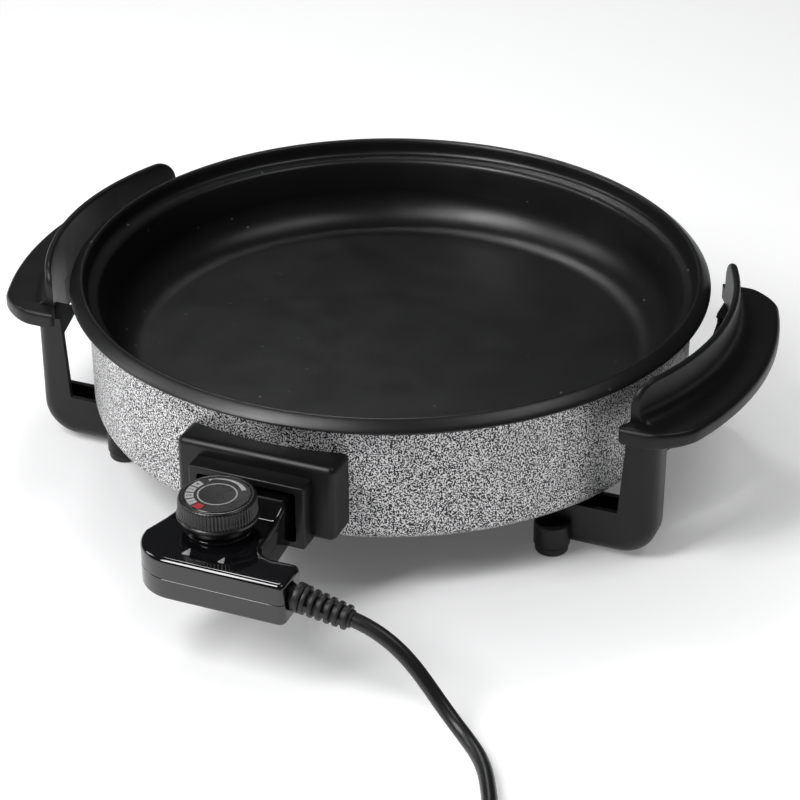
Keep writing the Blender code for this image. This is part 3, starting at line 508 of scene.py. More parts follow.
# ---- camera ----
def make_camera():
    """From the front, to the right and above, as a long lens sees the griddle from 1.5 m."""
    azimuth, elevation, distance = radians(22.19), radians(29.82), 1.5286
    target = AXIS + Vector((0.0506, -0.1075, 0.090))
    back = Vector((sin(azimuth) * cos(elevation), -cos(azimuth) * cos(elevation), sin(elevation)))
    data = bpy.data.cameras.new("camera")
    data.lens = 111.55
    data.sensor_width = 36.0
    data.clip_end = 20.0
    made = new_object("camera", data)
    made.location = target + distance * back
    made.rotation_euler = (-back).to_track_quat("-Z", "Y").to_euler()
    bpy.context.scene.camera = made


# ---- cord ----
def free_run():
    """The cord from inside its strain relief to where it meets the coil."""
    drop = Vector((cos(RELIEF_DROP), 0, -sin(RELIEF_DROP)))
    return [
        tuple(RELIEF_START + drop * (RELIEF_LENGTH - 0.006)),
        tuple(RELIEF_START + drop * (RELIEF_LENGTH + 0.001)),
        (0.1055, -0.2901, 0.0532), (0.1155, -0.2904, 0.0488), (0.1255, -0.2910, 0.0424),
        (0.1350, -0.2920, 0.0342), (0.1440, -0.2938, 0.0252), (0.1530, -0.2966, 0.0168),
        (0.1625, -0.3010, 0.0102), (0.1725, -0.3075, 0.0062), (0.1825, -0.3170, 0.0048),
        (0.1915, -0.3300, 0.0048), (0.1995, -0.3460, 0.0048), (0.2075, -0.3640, 0.0048),
        (0.2190, -0.3840, 0.0048), (0.2305, -0.4050, 0.0048),
    ]


def coil_turns():
    """Three flat turns from the outside in, then a part turn on top that leads out to the plug."""
    outer, between, inner = COIL_TURNS_R
    low_z, top_z, top_r = CORD_R + GAP, 0.0126, (between + inner) / 2
    points = []
    swept_end = 3 * 360 + 115
    climb, hump, hump_end, hump_height = 945, 1000, 1055, 0.0012  # all but the last in degrees wound
    for swept in range(0, swept_end + 1, 5):
        radius = outer - (outer - between) * smooth_step((swept - 300) / 60)
        radius -= (between - inner) * smooth_step((swept - 660) / 60)
        radius += (top_r - inner) * smooth_step((swept - climb) / 130)
        z = low_z + (top_z - low_z) * smooth_step((swept - climb) / 70)
        z += hump_height * smooth_step((swept - hump) / 35) * (1 - smooth_step((swept - hump_end) / 30))
        angle = radians(25 - swept)
        points.append((COIL_CENTRE[0] + radius * cos(angle), COIL_CENTRE[1] + radius * sin(angle), z))
    return points


def make_cord(plug_pieces):
    """The whole cord on one spline: free run, coil, and the short tail that enters the plug."""
    tail = [
        (0.180, PLUG_BACK.y, 0.0127),
        (0.165, PLUG_BACK.y, 0.0128),
        (0.150, PLUG_BACK.y, PLUG_BACK.z),
        (PLUG_BACK.x - 0.004, PLUG_BACK.y, PLUG_BACK.z),
    ]
    points = smooth_curve(free_run() + coil_turns() + tail, 0.004)
    curve = tube_curve("mains_cord", points, CORD_R)
    cord = piece("mains_cord", curve, CORD_SHEATH, "thermostat", "cord", "cord_coil")


def make_plug():
    """A moulded two-pin plug with finger grooves, a ridged tail and sleeved round pins."""
    groove = 0.0056
    stations = []
    for start, ridge in ((0.0, 0.0064), (0.0054, 0.0066), (0.0108, 0.0069)):
        ends = ((start, groove), (start + 0.0006, ridge), (start + 0.0030, ridge))
        groove = ridge - 0.0007
        ends += ((start + 0.0036, groove),)
        stations += [(forward, size, size) for forward, size in ends]
    stations += [
        (0.0165, 0.0063, 0.0063), (0.0185, 0.0074, 0.0072), (0.0215, 0.0098, 0.0088),
        (0.0250, 0.0130, 0.0106), (0.0290, 0.0158, 0.0119), (0.0310, 0.0166, 0.0122),
        (0.0320, 0.0160, 0.0116), (0.0335, 0.0160, 0.0116), (0.0345, 0.0172, 0.0124),
        (0.0360, 0.0174, 0.0124), (0.0370, 0.0166, 0.0117), (0.0385, 0.0166, 0.0117),
        (0.0395, 0.0178, 0.0125), (0.0440, 0.0180, 0.0125), (0.0500, 0.0180, 0.0125),
        (0.0512, 0.0177, 0.0122), (0.0519, 0.0170, 0.0115), (0.0520, 0.0160, 0.0105),
    ]
    rings = []
    for forward, wide, high in stations:
        flat = smooth_step((forward - 0.018) / 0.012)
        ring = []
        for k in range(56):
            angle = TAU * k / 56
            squareness = 1.0 - 0.35 * flat
            across = abs(cos(angle)) ** squareness * (1 if cos(angle) >= 0 else -1)
            up = abs(sin(angle)) ** squareness * (1 if sin(angle) >= 0 else -1)
            ring.append((PLUG_BACK.x - forward, PLUG_BACK.y + wide * across, PLUG_BACK.z + high * up))
        rings.append(ring)
    body = skinned("plug", rings, 35)
    pieces = [piece("plug_moulding", body, CASE_PLASTIC, "thermostat", "plug_body")]
    pin_pitch, pin_length = 0.019, 0.019
    for number, side in ((1, -1), (2, 1)):
        base = Vector((PLUG_BACK.x - PLUG_LENGTH - GAP, PLUG_BACK.y + side * pin_pitch / 2, PLUG_BACK.z))
        sleeve_end = base - Vector((pin_length / 2, 0, 0))
        tip = base - Vector((pin_length, 0, 0))
        pin = rod("pin", 0.0024, sleeve_end, tip, 32, 0.0012)
        sleeve = rod("sleeve", 0.0023, base, sleeve_end, 32)
        pieces.append(piece(f"plug_pin_tip_{number}", pin, BRASS, "thermostat", f"plug_pin_{number}"))
        pieces.append(piece(f"plug_pin_sleeve_{number}", sleeve, CASE_PLASTIC, "thermostat"))
    return pieces


make_camera()
make_cord(make_plug())


# ---- pan and shell ----
def make_pan():
    """The cast pan: floor, deep fillet, wall, lid ledge and a rim that slopes down to its edge."""
    inside = quarter_ellipse(FLOOR_R, FLOOR_Z, WALL_R - FLOOR_R, 0.026, 24)
    outside = quarter_ellipse(FLOOR_R, FLOOR_UNDER, WALL_R - FLOOR_R + 0.004, 0.031, 16)
    rim = [
        (0.1891, 0.1086), (0.1896, 0.1102), (0.1901, 0.1112), (0.1910, 0.1120), (0.1925, 0.1128),
        (0.1952, 0.1140), (0.1962, 0.1146), (0.1969, 0.1155), (0.1974, 0.1168), (0.1979, 0.1200),
        (0.1983, 0.1222), (0.1988, 0.1236), (0.1994, 0.1243),
    ]
    crest = [(0.2001, RIM_TOP), (0.2009, RIM_TOP), (0.2018, RIM_TOP - 0.0004), (0.2030, RIM_TOP - 0.0012)]
    crest += [(0.2044, RIM_TOP - 0.0023), (0.2058, RIM_TOP - 0.0035), (0.2069, RIM_TOP - 0.0045)]
    edge = arc((RIM_R - 0.0010, RIM_TOP - 0.0062), 0.0010, 50, -120, 8)
    below = [(0.2055, 0.1176), (0.2016, 0.1198), (0.1994, 0.1152), (0.1970, 0.1122)]
    below += [(0.1945, 0.1108), (0.1920, 0.1085)]
    profile = [(0, FLOOR_Z), (0.06, FLOOR_Z), (0.12, FLOOR_Z), *inside, *rim, *crest, *edge, *below]
    profile += [*reversed(outside), (0.12, FLOOR_UNDER), (0.06, FLOOR_UNDER), (0, FLOOR_UNDER)]
    piece("cast_pan", turned("pan", profile, 224, 40), NON_STICK, "griddle", "pan")


def make_shell():
    """The outer shell with its rolled lower edge, its bottom flange and its window for the socket."""
    low = SHELL_BOTTOM
    bend = 0.0072
    centre = (SHELL_LOW_R - bend, low + bend)
    outer = [(SHELL_TOP_R, SHELL_TOP_Z), (SHELL_LOW_R + SHELL_SLOPE * 0.03, SHELL_LOW_Z + 0.03)]
    outer += arc(centre, bend, 4, -90, 10)
    inner = arc(centre, bend - SHELL_THICK, -90, 4, 10)
    flange = [(FLANGE_IN_R, low), (FLANGE_IN_R - 0.0003, low + 0.0006), (FLANGE_IN_R, low + SHELL_THICK)]
    profile = [*outer, *flange, *inner, (SHELL_TOP_R - SHELL_THICK, SHELL_TOP_Z)]
    window = rounded_block("window", (-0.022, -0.214, 0.0505), (0.022, -0.185, 0.0755), 0.002, 3)
    shell = combined(turned("shell", profile, 224), [(CUT, window)])
    piece("pressed_shell", shell, HAMMERED, "griddle", "outer_shell")


def make_element():
    """The sheathed element under the floor, with its terminals, and the guide for the probe."""
    low, high = frame_box("heating_element")
    tube_r, ring_r = 0.004, high.y - 0.004
    pin_low, pin_high = frame_box("terminal_pin_right")
    pin_x, _, pin_z = middle("terminal_pin_right")
    z = low.z + tube_r
    leads = [(pin_x, -0.196, pin_z), (pin_x, -0.1905, 0.0676), (pin_x, -0.184, 0.0645)]
    leads += [(0.0132, -0.178, 0.0608), (0.0142, -0.170, 0.0582), (0.0165, -0.160, z)]
    leads += [(0.022, -0.146, z), (0.031, -0.130, z)]
    angles = [radians(-68 + 316 * i / 30) for i in range(31)]
    ring = [(ring_r * cos(a), ring_r * sin(a), z) for a in angles]
    back = [(-x, y, height) for x, y, height in reversed(leads)]
    points = smooth_curve(leads + ring + back, 0.005)
    tube = tube_curve("element", points, tube_r)
    piece("sheathed_element", tube, ELEMENT_STEEL, "griddle", "heating_element")
    for side, word in ((-1, "left"), (1, "right")):
        start, end = (side * pin_x, pin_low.y + 0.0005, pin_z), (side * pin_x, pin_high.y, pin_z)
        bar = rod("terminal", half_width("terminal_pin_right"), end, start, 40, 0.0012)
        piece(f"terminal_{word}", bar, STEEL, "griddle", f"terminal_pin_{word}")
    guide_low, guide_high = frame_box("probe_guide")
    length, bore, wall = guide_high.y - guide_low.y, 0.0028, 0.004
    profile = [(0, length - 0.002), (bore, length - 0.002), (bore, 0.0004), (bore + 0.0004, 0)]
    profile += [(wall - 0.0004, 0), (wall, 0.0004), *arc((wall - 0.002, length - 0.002), 0.002, 0, 90, 5)]
    mesh = turned("guide", profile + [(0, length)], 48)
    height = middle("probe_guide").z
    along(mesh, (0, guide_low.y, height), (0, guide_high.y, height))
    piece("guide_tube", mesh, ELEMENT_STEEL, "griddle", "probe_guide")


# ---- socket ----
SOCKET_SCREW_X, SOCKET_SCREW_HOLE = 0.042, (0.072, 0.0023, -0.2095)  # the hole's height, radius and end


def make_socket():
    """The bakelite housing: a rounded block with a sharp-edged collar and the recess in it."""
    low, high = frame_box("socket_housing")
    front, face, back, recess_end = low.y, -0.2115, -0.178, -0.207
    collar_half, recess_half = 0.0373, 0.032
    body = rounded_block("housing", (low.x, face, 0.0470), (high.x, back, high.z), 0.0046, 7)
    collar = rounded_block("collar", (-collar_half, front, low.z), (collar_half, -0.206, 0.0887), 0.0011, 3)
    recess = rounded_block(
        "recess", (-recess_half, front - 0.01, 0.051), (recess_half, recess_end, 0.0843), 0.0018, 3
    )
    clear, cone_low, cone_top = 0.0004, 0.030, 0.120
    cone = [(SHELL_LOW_R + SHELL_SLOPE * (z - SHELL_LOW_Z) + clear, z) for z in (cone_top, cone_low)]
    cone = [(0, cone_top), *cone, (0, cone_low)]
    steps = [(JOIN, collar), (CUT, recess), (CUT, turned("clear", cone, 224))]
    pin_hole, probe_hole, screw_hole = (0.068, 0.0046, -0.210), (0.057, 0.0045, -0.210), SOCKET_SCREW_HOLE
    holes = [(0.013, *pin_hole), (-0.013, *pin_hole), (0.0, *probe_hole)]
    holes += [(SOCKET_SCREW_X, *screw_hole), (-SOCKET_SCREW_X, *screw_hole)]
    for x, z, radius, end in holes:
        steps.append((CUT, rod("hole", radius, (x, -0.190, z), (x, end, z), 32)))
    housing = combined(body, steps, 30)
    piece("socket_moulding", housing, BAKELITE, "griddle", "socket_housing")


# ---- handles ----
GRIP_ARC_X, GRIP_ARC_R = 0.0143, 0.2397
SHIELD_ARC_X, SHIELD_ARC_R, SHIELD_THICK = 0.0347, 0.1946, 0.0065
GRIP_MID = middle("grip_right").y
SHIELD_END, SHIELD_CORNER = 0.094, 0.013
GRIP_END, TIP_FROM, TIP_X, TIP_CORNER, TIP_EDGE = 0.105, 0.0845, 0.209, 0.006, 0.0038
APRON_HALF, APRON_THICK = 0.0745, 0.003
APRON_LOW = GRIP_LOW - 0.0215
GRIP_TOP = GRIP_LOW + 0.010


def quarter_drop(along):
    """How far a quarter circle of radius 1 has dropped at a place from 0 to 1 along it."""
    along = min(1.0, max(0.0, along))
    return 1 - sqrt(1 - along * along)


def grip_outer_x(y):
    """Plan of the handle's outer edge: an arc that turns in to the tip on an ellipse."""
    edge = GRIP_ARC_X + sqrt(GRIP_ARC_R**2 - y * y)
    reach = abs(y - GRIP_MID)
    return edge - (edge - TIP_X) * quarter_drop((reach - TIP_FROM) / (GRIP_END - TIP_FROM))


def grip_inner_x(y):
    """Plan of the inner face, rounded off at the tip."""
    face = SHIELD_ARC_X - SHIELD_THICK + sqrt(SHIELD_ARC_R**2 - y * y)
    return face + TIP_CORNER * quarter_drop((abs(y - GRIP_MID) - GRIP_END + TIP_CORNER) / TIP_CORNER)


def plate_top(y):
    """Height of the plate's upper face, rounded down at the very tip."""
    return GRIP_TOP - TIP_EDGE * quarter_drop((abs(y - GRIP_MID) - GRIP_END + TIP_EDGE) / TIP_EDGE)


def shield_top(y):
    """Height of the shield's top edge: level, with rounded ends above the plate."""
    reach = abs(y - GRIP_MID)
    if reach > SHIELD_END:
        return plate_top(y)
    return SHIELD_TOP - SHIELD_CORNER * quarter_drop((reach - SHIELD_END + SHIELD_CORNER) / SHIELD_CORNER)


def grip_section(y):
    """The cross-section at one place: rounded plate edge, hollow fillet, leaning shield."""
    inner, outer, top, plate = grip_inner_x(y), grip_outer_x(y), shield_top(y), plate_top(y)
    width, rise = outer - inner, top - plate
    edge = min(0.0040, 0.35 * width)
    fillet = min(0.0090, 0.5 * rise)
    face = inner + min(SHIELD_THICK - 0.0012, 0.4 * width)
    lip = min(0.0022, 0.3 * rise, 0.45 * (face - inner))
    foot = min(0.0020, 0.2 * width)
    reach = min(fillet, max(0.0, outer - edge - face - 0.0002))
    sixth = [pi / 12 * i for i in range(7)]
    points = [(inner + 0.4 * foot, GRIP_LOW)]
    points += arc((outer - foot, GRIP_LOW + foot), foot, -90, 0, 4)
    points += arc((outer - edge, plate - edge), edge, 0, 90, 6)
    points += [(face + reach * (1 - sin(a)), plate + fillet * (1 - cos(a))) for a in sixth]
    points += arc((face - 0.0004 - lip, top - lip), lip, 0, 90, 4)
    points += arc((inner + lip, top - lip), lip, 90, 180, 4)
    points.append((inner, GRIP_LOW + 0.0010))
    return [(x, y, z) for x, z in points]


def rounding_stations(end, radius, pieces):
    """Places along a rounding that ends at end, spread evenly round its quarter circle."""
    return [end - radius + radius * sin(pi / 2 * i / pieces) for i in range(pieces + 1)]


def make_grips():
    """Both handles, their plates bent round the pan and their heat shields standing on them."""
    half = [0.0081 * i for i in range(10)] + rounding_stations(SHIELD_END, SHIELD_CORNER, 12)
    half += [SHIELD_END + 0.00005, 0.0958, 0.0976, 0.0994]
    half += rounding_stations(GRIP_END, TIP_EDGE, 9)
    stations = [GRIP_MID + y for y in [*(-y for y in reversed(half[1:])), *half]]
    handle = skinned("grip", [grip_section(y) for y in stations], 38)
    rings = []
    for i in range(31):
        y = APRON_HALF * (i / 15 - 1)
        near = grip_inner_x(y) + 0.0004
        far = near + APRON_THICK
        corners = [(near, APRON_LOW), (far, APRON_LOW), (far, GRIP_LOW + 0.002), (near, GRIP_LOW + 0.002)]
        rings.append([(x, y, z) for x, z in corners])
    mesh = combined(handle, [(JOIN, skinned("apron", rings))], 38)
    for flip, word in ((False, "right"), (True, "left")):
        piece(f"handle_{word}", mirrored(mesh, flip, False), BAKELITE, "griddle", f"grip_{word}")


# ---- legs and feet ----
LEG_FRONT, LEG_DEPTH, LEG_WALL = 0.0964, 0.0214, 0.0035
LEG_CAP = 0.004
FRONT_LEG_IN, REAR_LEG_IN = (0.1899, 0.1935), (0.1870, 0.2010)  # inner side at the arm and at the top
ARM_LOW, ARM_TOP, ARM_END_X = 0.0032, 0.0339, 0.146
LEG_BEND_R, LEG_EDGE_R = 0.022, 0.010
FOOT_X, FOOT_Y, FOOT_R = 0.1492, 0.099, 0.0105
POST_X, POST_Y = 0.167, LEG_FRONT - LEG_DEPTH / 2
GRIP_SCREW = (0.2059, 0.088)
LEG_SCREW_SEAT = 0.0122


def leg_outline(inner, inset, reach=0.0, top=None):
    """The L of a leg and its arm seen from the front, its outer side moved in by inset."""
    out, low = LEG_OUT_X - inset, ARM_LOW + inset
    bend = LEG_BEND_R - 0.4 * inset
    top = LEG_TOP if top is None else top
    return [
        (out, top), *arc((out - bend, low + bend), bend, 0, -90, 14),
        (ARM_END_X - reach, low), (ARM_END_X - reach, ARM_TOP + reach),
        *arc((inner[0] - 0.0015 - reach, ARM_TOP + 0.0015 + reach), 0.0015, -90, 0, 5),
        (inner[1] - reach, top),
    ]


def leg_rings(inner, inset, front, back, edge, reach=0.0, top=None, back_edge=0.0):
    """Outlines from the front face to the back one, with the front outer edge rounded."""
    rings = []
    for i in range(9):
        angle = pi / 2 * i / 8
        away = inset + edge * (1 - sin(angle))
        y = front - edge * (1 - cos(angle))
        rings.append([(x, -y, z) for x, z in leg_outline(inner, away, reach, top)])
    for i in range(4 if back_edge else 1):
        angle = pi / 2 * i / 3
        away = inset + back_edge * (1 - cos(angle))
        y = back + back_edge * (1 - sin(angle))
        rings.append([(x, -y, z) for x, z in leg_outline(inner, away, reach, top)])
    return rings


def leg_mesh(inner, web_low):
    """A leg drawn at the front right: an angle-section upright on a channel arm, and a web."""
    back = LEG_FRONT - LEG_DEPTH
    solid = skinned("leg", leg_rings(inner, 0.0, LEG_FRONT, back, LEG_EDGE_R, back_edge=0.0008), 30)
    hollow = skinned(
        "hollow",
        leg_rings(
            inner, LEG_WALL, LEG_FRONT - LEG_WALL, back + LEG_WALL, LEG_EDGE_R - LEG_WALL, 0.012,
            LEG_TOP - LEG_CAP,
        ), 30,
    )
    open_back = rounded_block(
        "open_back", (inner[0] - 0.010, -back - 2 * LEG_WALL, ARM_TOP),
        (LEG_OUT_X - LEG_WALL, -back + 0.001, LEG_TOP - LEG_CAP), 0.0003, 1,
    )
    web_front, web_back, web_top = -LEG_FRONT + 0.5 * LEG_WALL, -back - GAP, LEG_TOP - 0.5 * LEG_CAP
    web = [(web_front, web_low[0]), (web_back, web_low[1])]
    web += [(web_back, web_top), (web_front, web_top)]
    gusset = skinned("gusset", [[(x, y, z) for y, z in web] for x in (inner[1], inner[1] + 0.0016)])
    post = upright(0.0055, (POST_X, -POST_Y), ARM_LOW + 0.001, SHELL_BOTTOM - 0.0004)
    boss_profile = [(0, 0.0055), (0.0109, 0.0055), (0.0115, 0.0061), (0.0115, 0.0195)]
    boss_profile += [*arc((0.0085, 0.0195), 0.003, 0, 90, 6), (0, 0.0225)]
    boss = placed(turned("boss", boss_profile, 56), FOOT_X, -FOOT_Y, 0)
    steps = [(CUT, hollow), (CUT, open_back)]
    steps += [(JOIN, gusset), (JOIN, post), (JOIN, boss)]
    for radius, x, y, low, high in (
        (0.0023, POST_X, POST_Y, -0.001, 0.045),
        (0.0046, POST_X, POST_Y, -0.001, LEG_SCREW_SEAT),
        (0.0034, FOOT_X, FOOT_Y, -0.001, 0.0155),
        (FOOT_R + 0.0005, FOOT_X, FOOT_Y, -0.001, 0.0054),
        (0.0019, *GRIP_SCREW, 0.080, 0.095),
    ):
        steps.append((CUT, upright(radius, (x, -y), low, high, 32)))
    return combined(solid, steps, 30)


def make_legs():
    """The four legs with their feet and screws, each mirrored from one drawn at the front right."""
    front_leg = leg_mesh(FRONT_LEG_IN, (0.0785, 0.0872))
    rear_leg = leg_mesh(REAR_LEG_IN, (0.0705, 0.0705))
    foot = placed(turned("foot", foot_profile(), 56), FOOT_X, -FOOT_Y, 0)
    leg_screw = placed(screw_mesh(0.0042, 0.0026, 0.002, 0.029), POST_X, -POST_Y, LEG_SCREW_SEAT - GAP)
    grip_screw = screw_mesh(0.0030, 0.0022, 0.0016, 0.0106)
    placed(grip_screw, GRIP_SCREW[0], -GRIP_SCREW[1], LEG_TOP - LEG_CAP - GAP)
    for flip_x, left_right in ((False, "right"), (True, "left")):
        for flip_y, front_rear in ((False, "front"), (True, "rear")):
            word = f"{front_rear}_{left_right}"
            for name, mesh, material, node in (
                ("leg_moulding", rear_leg if flip_y else front_leg, BAKELITE, "leg"),
                ("foot_pad", foot, RUBBER, "foot"),
                ("leg_fixing", leg_screw, STEEL, "leg_screw"),
                ("handle_fixing", grip_screw, STEEL, "grip_screw"),
            ):
                copy = mirrored(mesh, flip_x, flip_y)
                piece(f"{name}_{word}", copy, material, "griddle", f"{node}_{word}")


def foot_profile():
    """A rubber foot: a hollow-centred pad with a ring groove, and the stem that holds it."""
    top = 0.0052
    pad = [(0, 0.0008), (0.0030, 0.0008), (0.0036, 0.0002), (0.0042, 0.0), (0.0086, 0.0)]
    pad += arc((FOOT_R - 0.0016, 0.0016), 0.0016, -80, 0, 5)
    pad += [(FOOT_R, top - 0.0004), (FOOT_R - 0.0004, top)]
    return pad + [(0.0030, top), (0.0030, 0.0140), (0, 0.0145)]


def screw_mesh(head_r, head_h, shaft_r, shaft_length):
    """A pan-head screw with a cross recess and a threaded shaft that points up."""
    head = [(0, -head_h), (0.6 * head_r, -head_h)]
    head += arc((head_r - 0.0006, -head_h + 0.0006), 0.0006, -90, 0, 4)
    head += [(head_r, -0.0001), (head_r - 0.0001, 0)]
    profile = [*head, (shaft_r, 0)]
    pitch = 0.0011
    for i in range(int((shaft_length - 0.002) / pitch)):
        z = 0.0006 + i * pitch
        profile += [(shaft_r - 0.0003, z), (shaft_r, z + pitch / 2)]
    profile += [(shaft_r - 0.0003, shaft_length - 0.0012), (0, shaft_length)]
    arms = []
    for turn in (0, pi / 2):
        arm = rounded_block(
            "arm", (-0.55 * head_r, -0.0005, -head_h - 0.001), (0.55 * head_r, 0.0005, -0.35 * head_h),
            0.0002, 1,
        )
        arm.transform(Matrix.Rotation(turn, 4, "Z"))
        arms.append((CUT, arm))
    return combined(turned("screw", profile, 32), arms, 30)


def make_socket_screws():
    """The two screws driven from inside the shell into the socket housing."""
    for side, word in ((-1, "left"), (1, "right")):
        mesh = screw_mesh(0.004, 0.0024, 0.002, 0.0197)
        x, z = side * SOCKET_SCREW_X, SOCKET_SCREW_HOLE[0]
        along(mesh, (x, -0.1890, z), (x, -0.2087, z))
        piece(f"socket_fixing_{word}", mesh, STEEL, "griddle", f"socket_screw_{word}")


# ---- thermostat ----
def case_outline(inset):
    """Plan of the case: a neck that flares to the left and a wing to the right."""
    big, small, hollow = 0.026 - inset, 0.0042 - inset, 0.011 + inset
    left_x, front_y, right_x = CASE_LEFT_X + inset, CASE_FRONT_Y + inset, CASE_RIGHT_X - inset
    wing_y, neck = -0.2775 - inset, NECK_HALF - inset
    small = max(small, 0.0004)
    flare = [(-neck - 0.0004, -0.232), (-neck - 0.0012, -0.239), (-neck - 0.0024, -0.246)]
    flare += [(-neck - 0.0040, -0.2535), (-neck - 0.0056, -0.261), (-neck - 0.0080, -0.269)]
    outline = [(-neck, NECK_STEP_Y), *flare]
    outline += arc((left_x + big, front_y + big), big, 180, 270, 20)
    outline += arc((right_x - small, front_y + small), small, 270, 360, 6)
    outline += arc((right_x - small, wing_y - small), small, 0, 90, 6)
    outline += arc((0.0425, -0.2665), hollow, 270, 180, 10)
    return outline + [(neck + 0.0012, -0.245), (neck, NECK_STEP_Y)]


def case_half(name, seam_z, end_z, edge):
    """One half of the case: straight sides, a fine step at the seam and a rounded outer edge."""
    step = 0.00012
    way = 1 if end_z > seam_z else -1
    levels = [(seam_z, step), (seam_z + way * step, 0.0)]
    levels += [(end_z - way * edge * (1 - sin(a)), edge * (1 - cos(a)))
               for a in [pi / 2 * i / 7 for i in range(8)]]
    return skinned(name, [[(x, y, z) for x, y in case_outline(inset)] for z, inset in levels], 30)


def neck_rings(inset, low, end_y):
    """Sections of the neck along Y: level over the socket, then sloping down to the case."""
    rings = []
    edge = 0.0032 - inset
    half = NECK_HALF - inset
    for i in range(15):
        y = end_y + (NECK_FOOT_Y - 0.0016 - end_y) * i / 14
        fall = smooth_step((NECK_STEP_Y + 0.001 - y) / (NECK_STEP_Y - NECK_FOOT_Y + 0.0005))
        top = NECK_TOP - (NECK_TOP - CASE_TOP + 0.0002) * fall - inset
        shrink = 0.0006 if i == 0 and not inset else 0.0
        corner = arc((-half + edge, top - edge), edge - shrink, 180, 90, 5)
        other = arc((half - edge, top - edge), edge - shrink, 90, 0, 5)
        section = [(-half + shrink, low), *corner, *other, (half - shrink, low)]
        rings.append([(x, y, z) for x, z in section])
    return rings


def case_fixings():
    """Where the case's three screws are."""
    return [tuple(middle(f"case_screw_{number}").xy) for number in (1, 2, 3)]


def make_case():
    """Both halves of the case, with screw posts inside and the hole for the strain relief."""
    tilt = Matrix.Rotation(pi / 2 + RELIEF_DROP, 4, "Y")
    hole = turned("hole", [(0, -0.004), (0.0066, -0.004), (0.0066, 0.012), (0, 0.012)], 40)
    hole.transform(Matrix.Translation(RELIEF_START) @ tilt)
    inside = case_outline(CASE_WALL)
    seam = CASE_SEAM + GAP
    spots = case_fixings()

    steps = [(JOIN, skinned("neck", neck_rings(0.0, seam, NECK_END_Y), 30))]
    room = skinned("room", [[(x, y, z) for x, y in inside] for z in (0.050, CASE_TOP - CASE_WALL)])
    throat = skinned("throat", neck_rings(CASE_WALL, 0.050, NECK_END_Y + 0.010))
    steps += [(CUT, room), (CUT, throat)]
    steps += [(JOIN, upright(0.0034, spot, seam, CASE_TOP - 0.001, 24)) for spot in spots]
    steps += [(CUT, upright(0.0015, spot, 0.060, CASE_TOP - 0.004, 20)) for spot in spots]
    spindle_hole = upright(0.0045, (0, KNOB_Y), 0.070, 0.080)
    bezel_seat = upright(BEZEL_R + 0.0010, (0, KNOB_Y), CASE_TOP + 0.0001, 0.085, 96)
    steps += [(CUT, spindle_hole), (CUT, bezel_seat), (CUT, hole)]
    upper = combined(case_half("upper", seam, CASE_TOP, 0.0030), steps, 30)
    piece("case_top", upper, CASE_PLASTIC, "thermostat", "case_upper")

    neck_low = 0.052
    low, high = (-NECK_HALF, NECK_STEP_Y - 0.004, neck_low), (NECK_HALF, NECK_END_Y, CASE_SEAM + 0.004)
    neck = combined(
        rounded_block("neck", low, high, 0.0012, 3),
        [(CUT, rounded_block("trim", (-0.04, -0.25, CASE_SEAM), (0.04, -0.2, 0.07), 0.0001, 1))],
    )
    inner = NECK_HALF - CASE_WALL
    room = skinned("room", [[(x, y, z) for x, y in inside] for z in (CASE_LOW + CASE_WALL, 0.080)])
    low, high = (-inner, NECK_STEP_Y - 0.010, neck_low + 0.0018), (inner, NECK_END_Y + 0.01, 0.080)
    steps = [(JOIN, neck), (CUT, room), (CUT, rounded_block("throat", low, high, 0.0008, 2))]
    steps += [(JOIN, upright(0.0042, spot, CASE_LOW + 0.001, CASE_SEAM, 24)) for spot in spots]
    for spot in spots:
        steps.append((CUT, upright(0.0019, spot, 0.040, 0.070, 20)))
        steps.append((CUT, upright(0.0031, spot, 0.040, CASE_SCREW_SEAT, 24)))
    steps.append((CUT, hole.copy()))
    lower = combined(case_half("lower", CASE_SEAM, CASE_LOW, 0.0020), steps, 30)
    piece("case_base", lower, CASE_PLASTIC, "thermostat", "case_lower")
    for number, spot in enumerate(spots, 1):
        screw = placed(screw_mesh(0.0028, 0.0020, 0.0012, 0.0160), *spot, CASE_SCREW_SEAT - GAP)
        piece(f"case_fixing_{number}", screw, STEEL, "thermostat", f"case_screw_{number}")


def make_case_marks():
    """Two raised pointers on top of the case, which the dial is read against."""
    for name, centre_x, base_y, wide, long in (
        ("pointer_main", -0.0049, -0.2935, 0.0054, 0.0076),
        ("pointer_side", 0.0172, -0.2935, 0.0044, 0.0064),
    ):
        corners = [(centre_x - wide / 2, base_y), (centre_x + wide / 2, base_y), (centre_x, base_y + long)]
        flat = rounded(corners, 0.0004, 3)
        centroid = Vector((centre_x, base_y + long / 3))
        rings = []
        for z, size in ((CASE_TOP - 0.0004, 1.0), (CASE_TOP + 0.0004, 0.96), (CASE_TOP + 0.0006, 0.84)):
            rings.append([(*(centroid + (Vector(point) - centroid) * size), z) for point in flat])
        piece(name, skinned(name, rings, 30), GREY_INK, "thermostat")


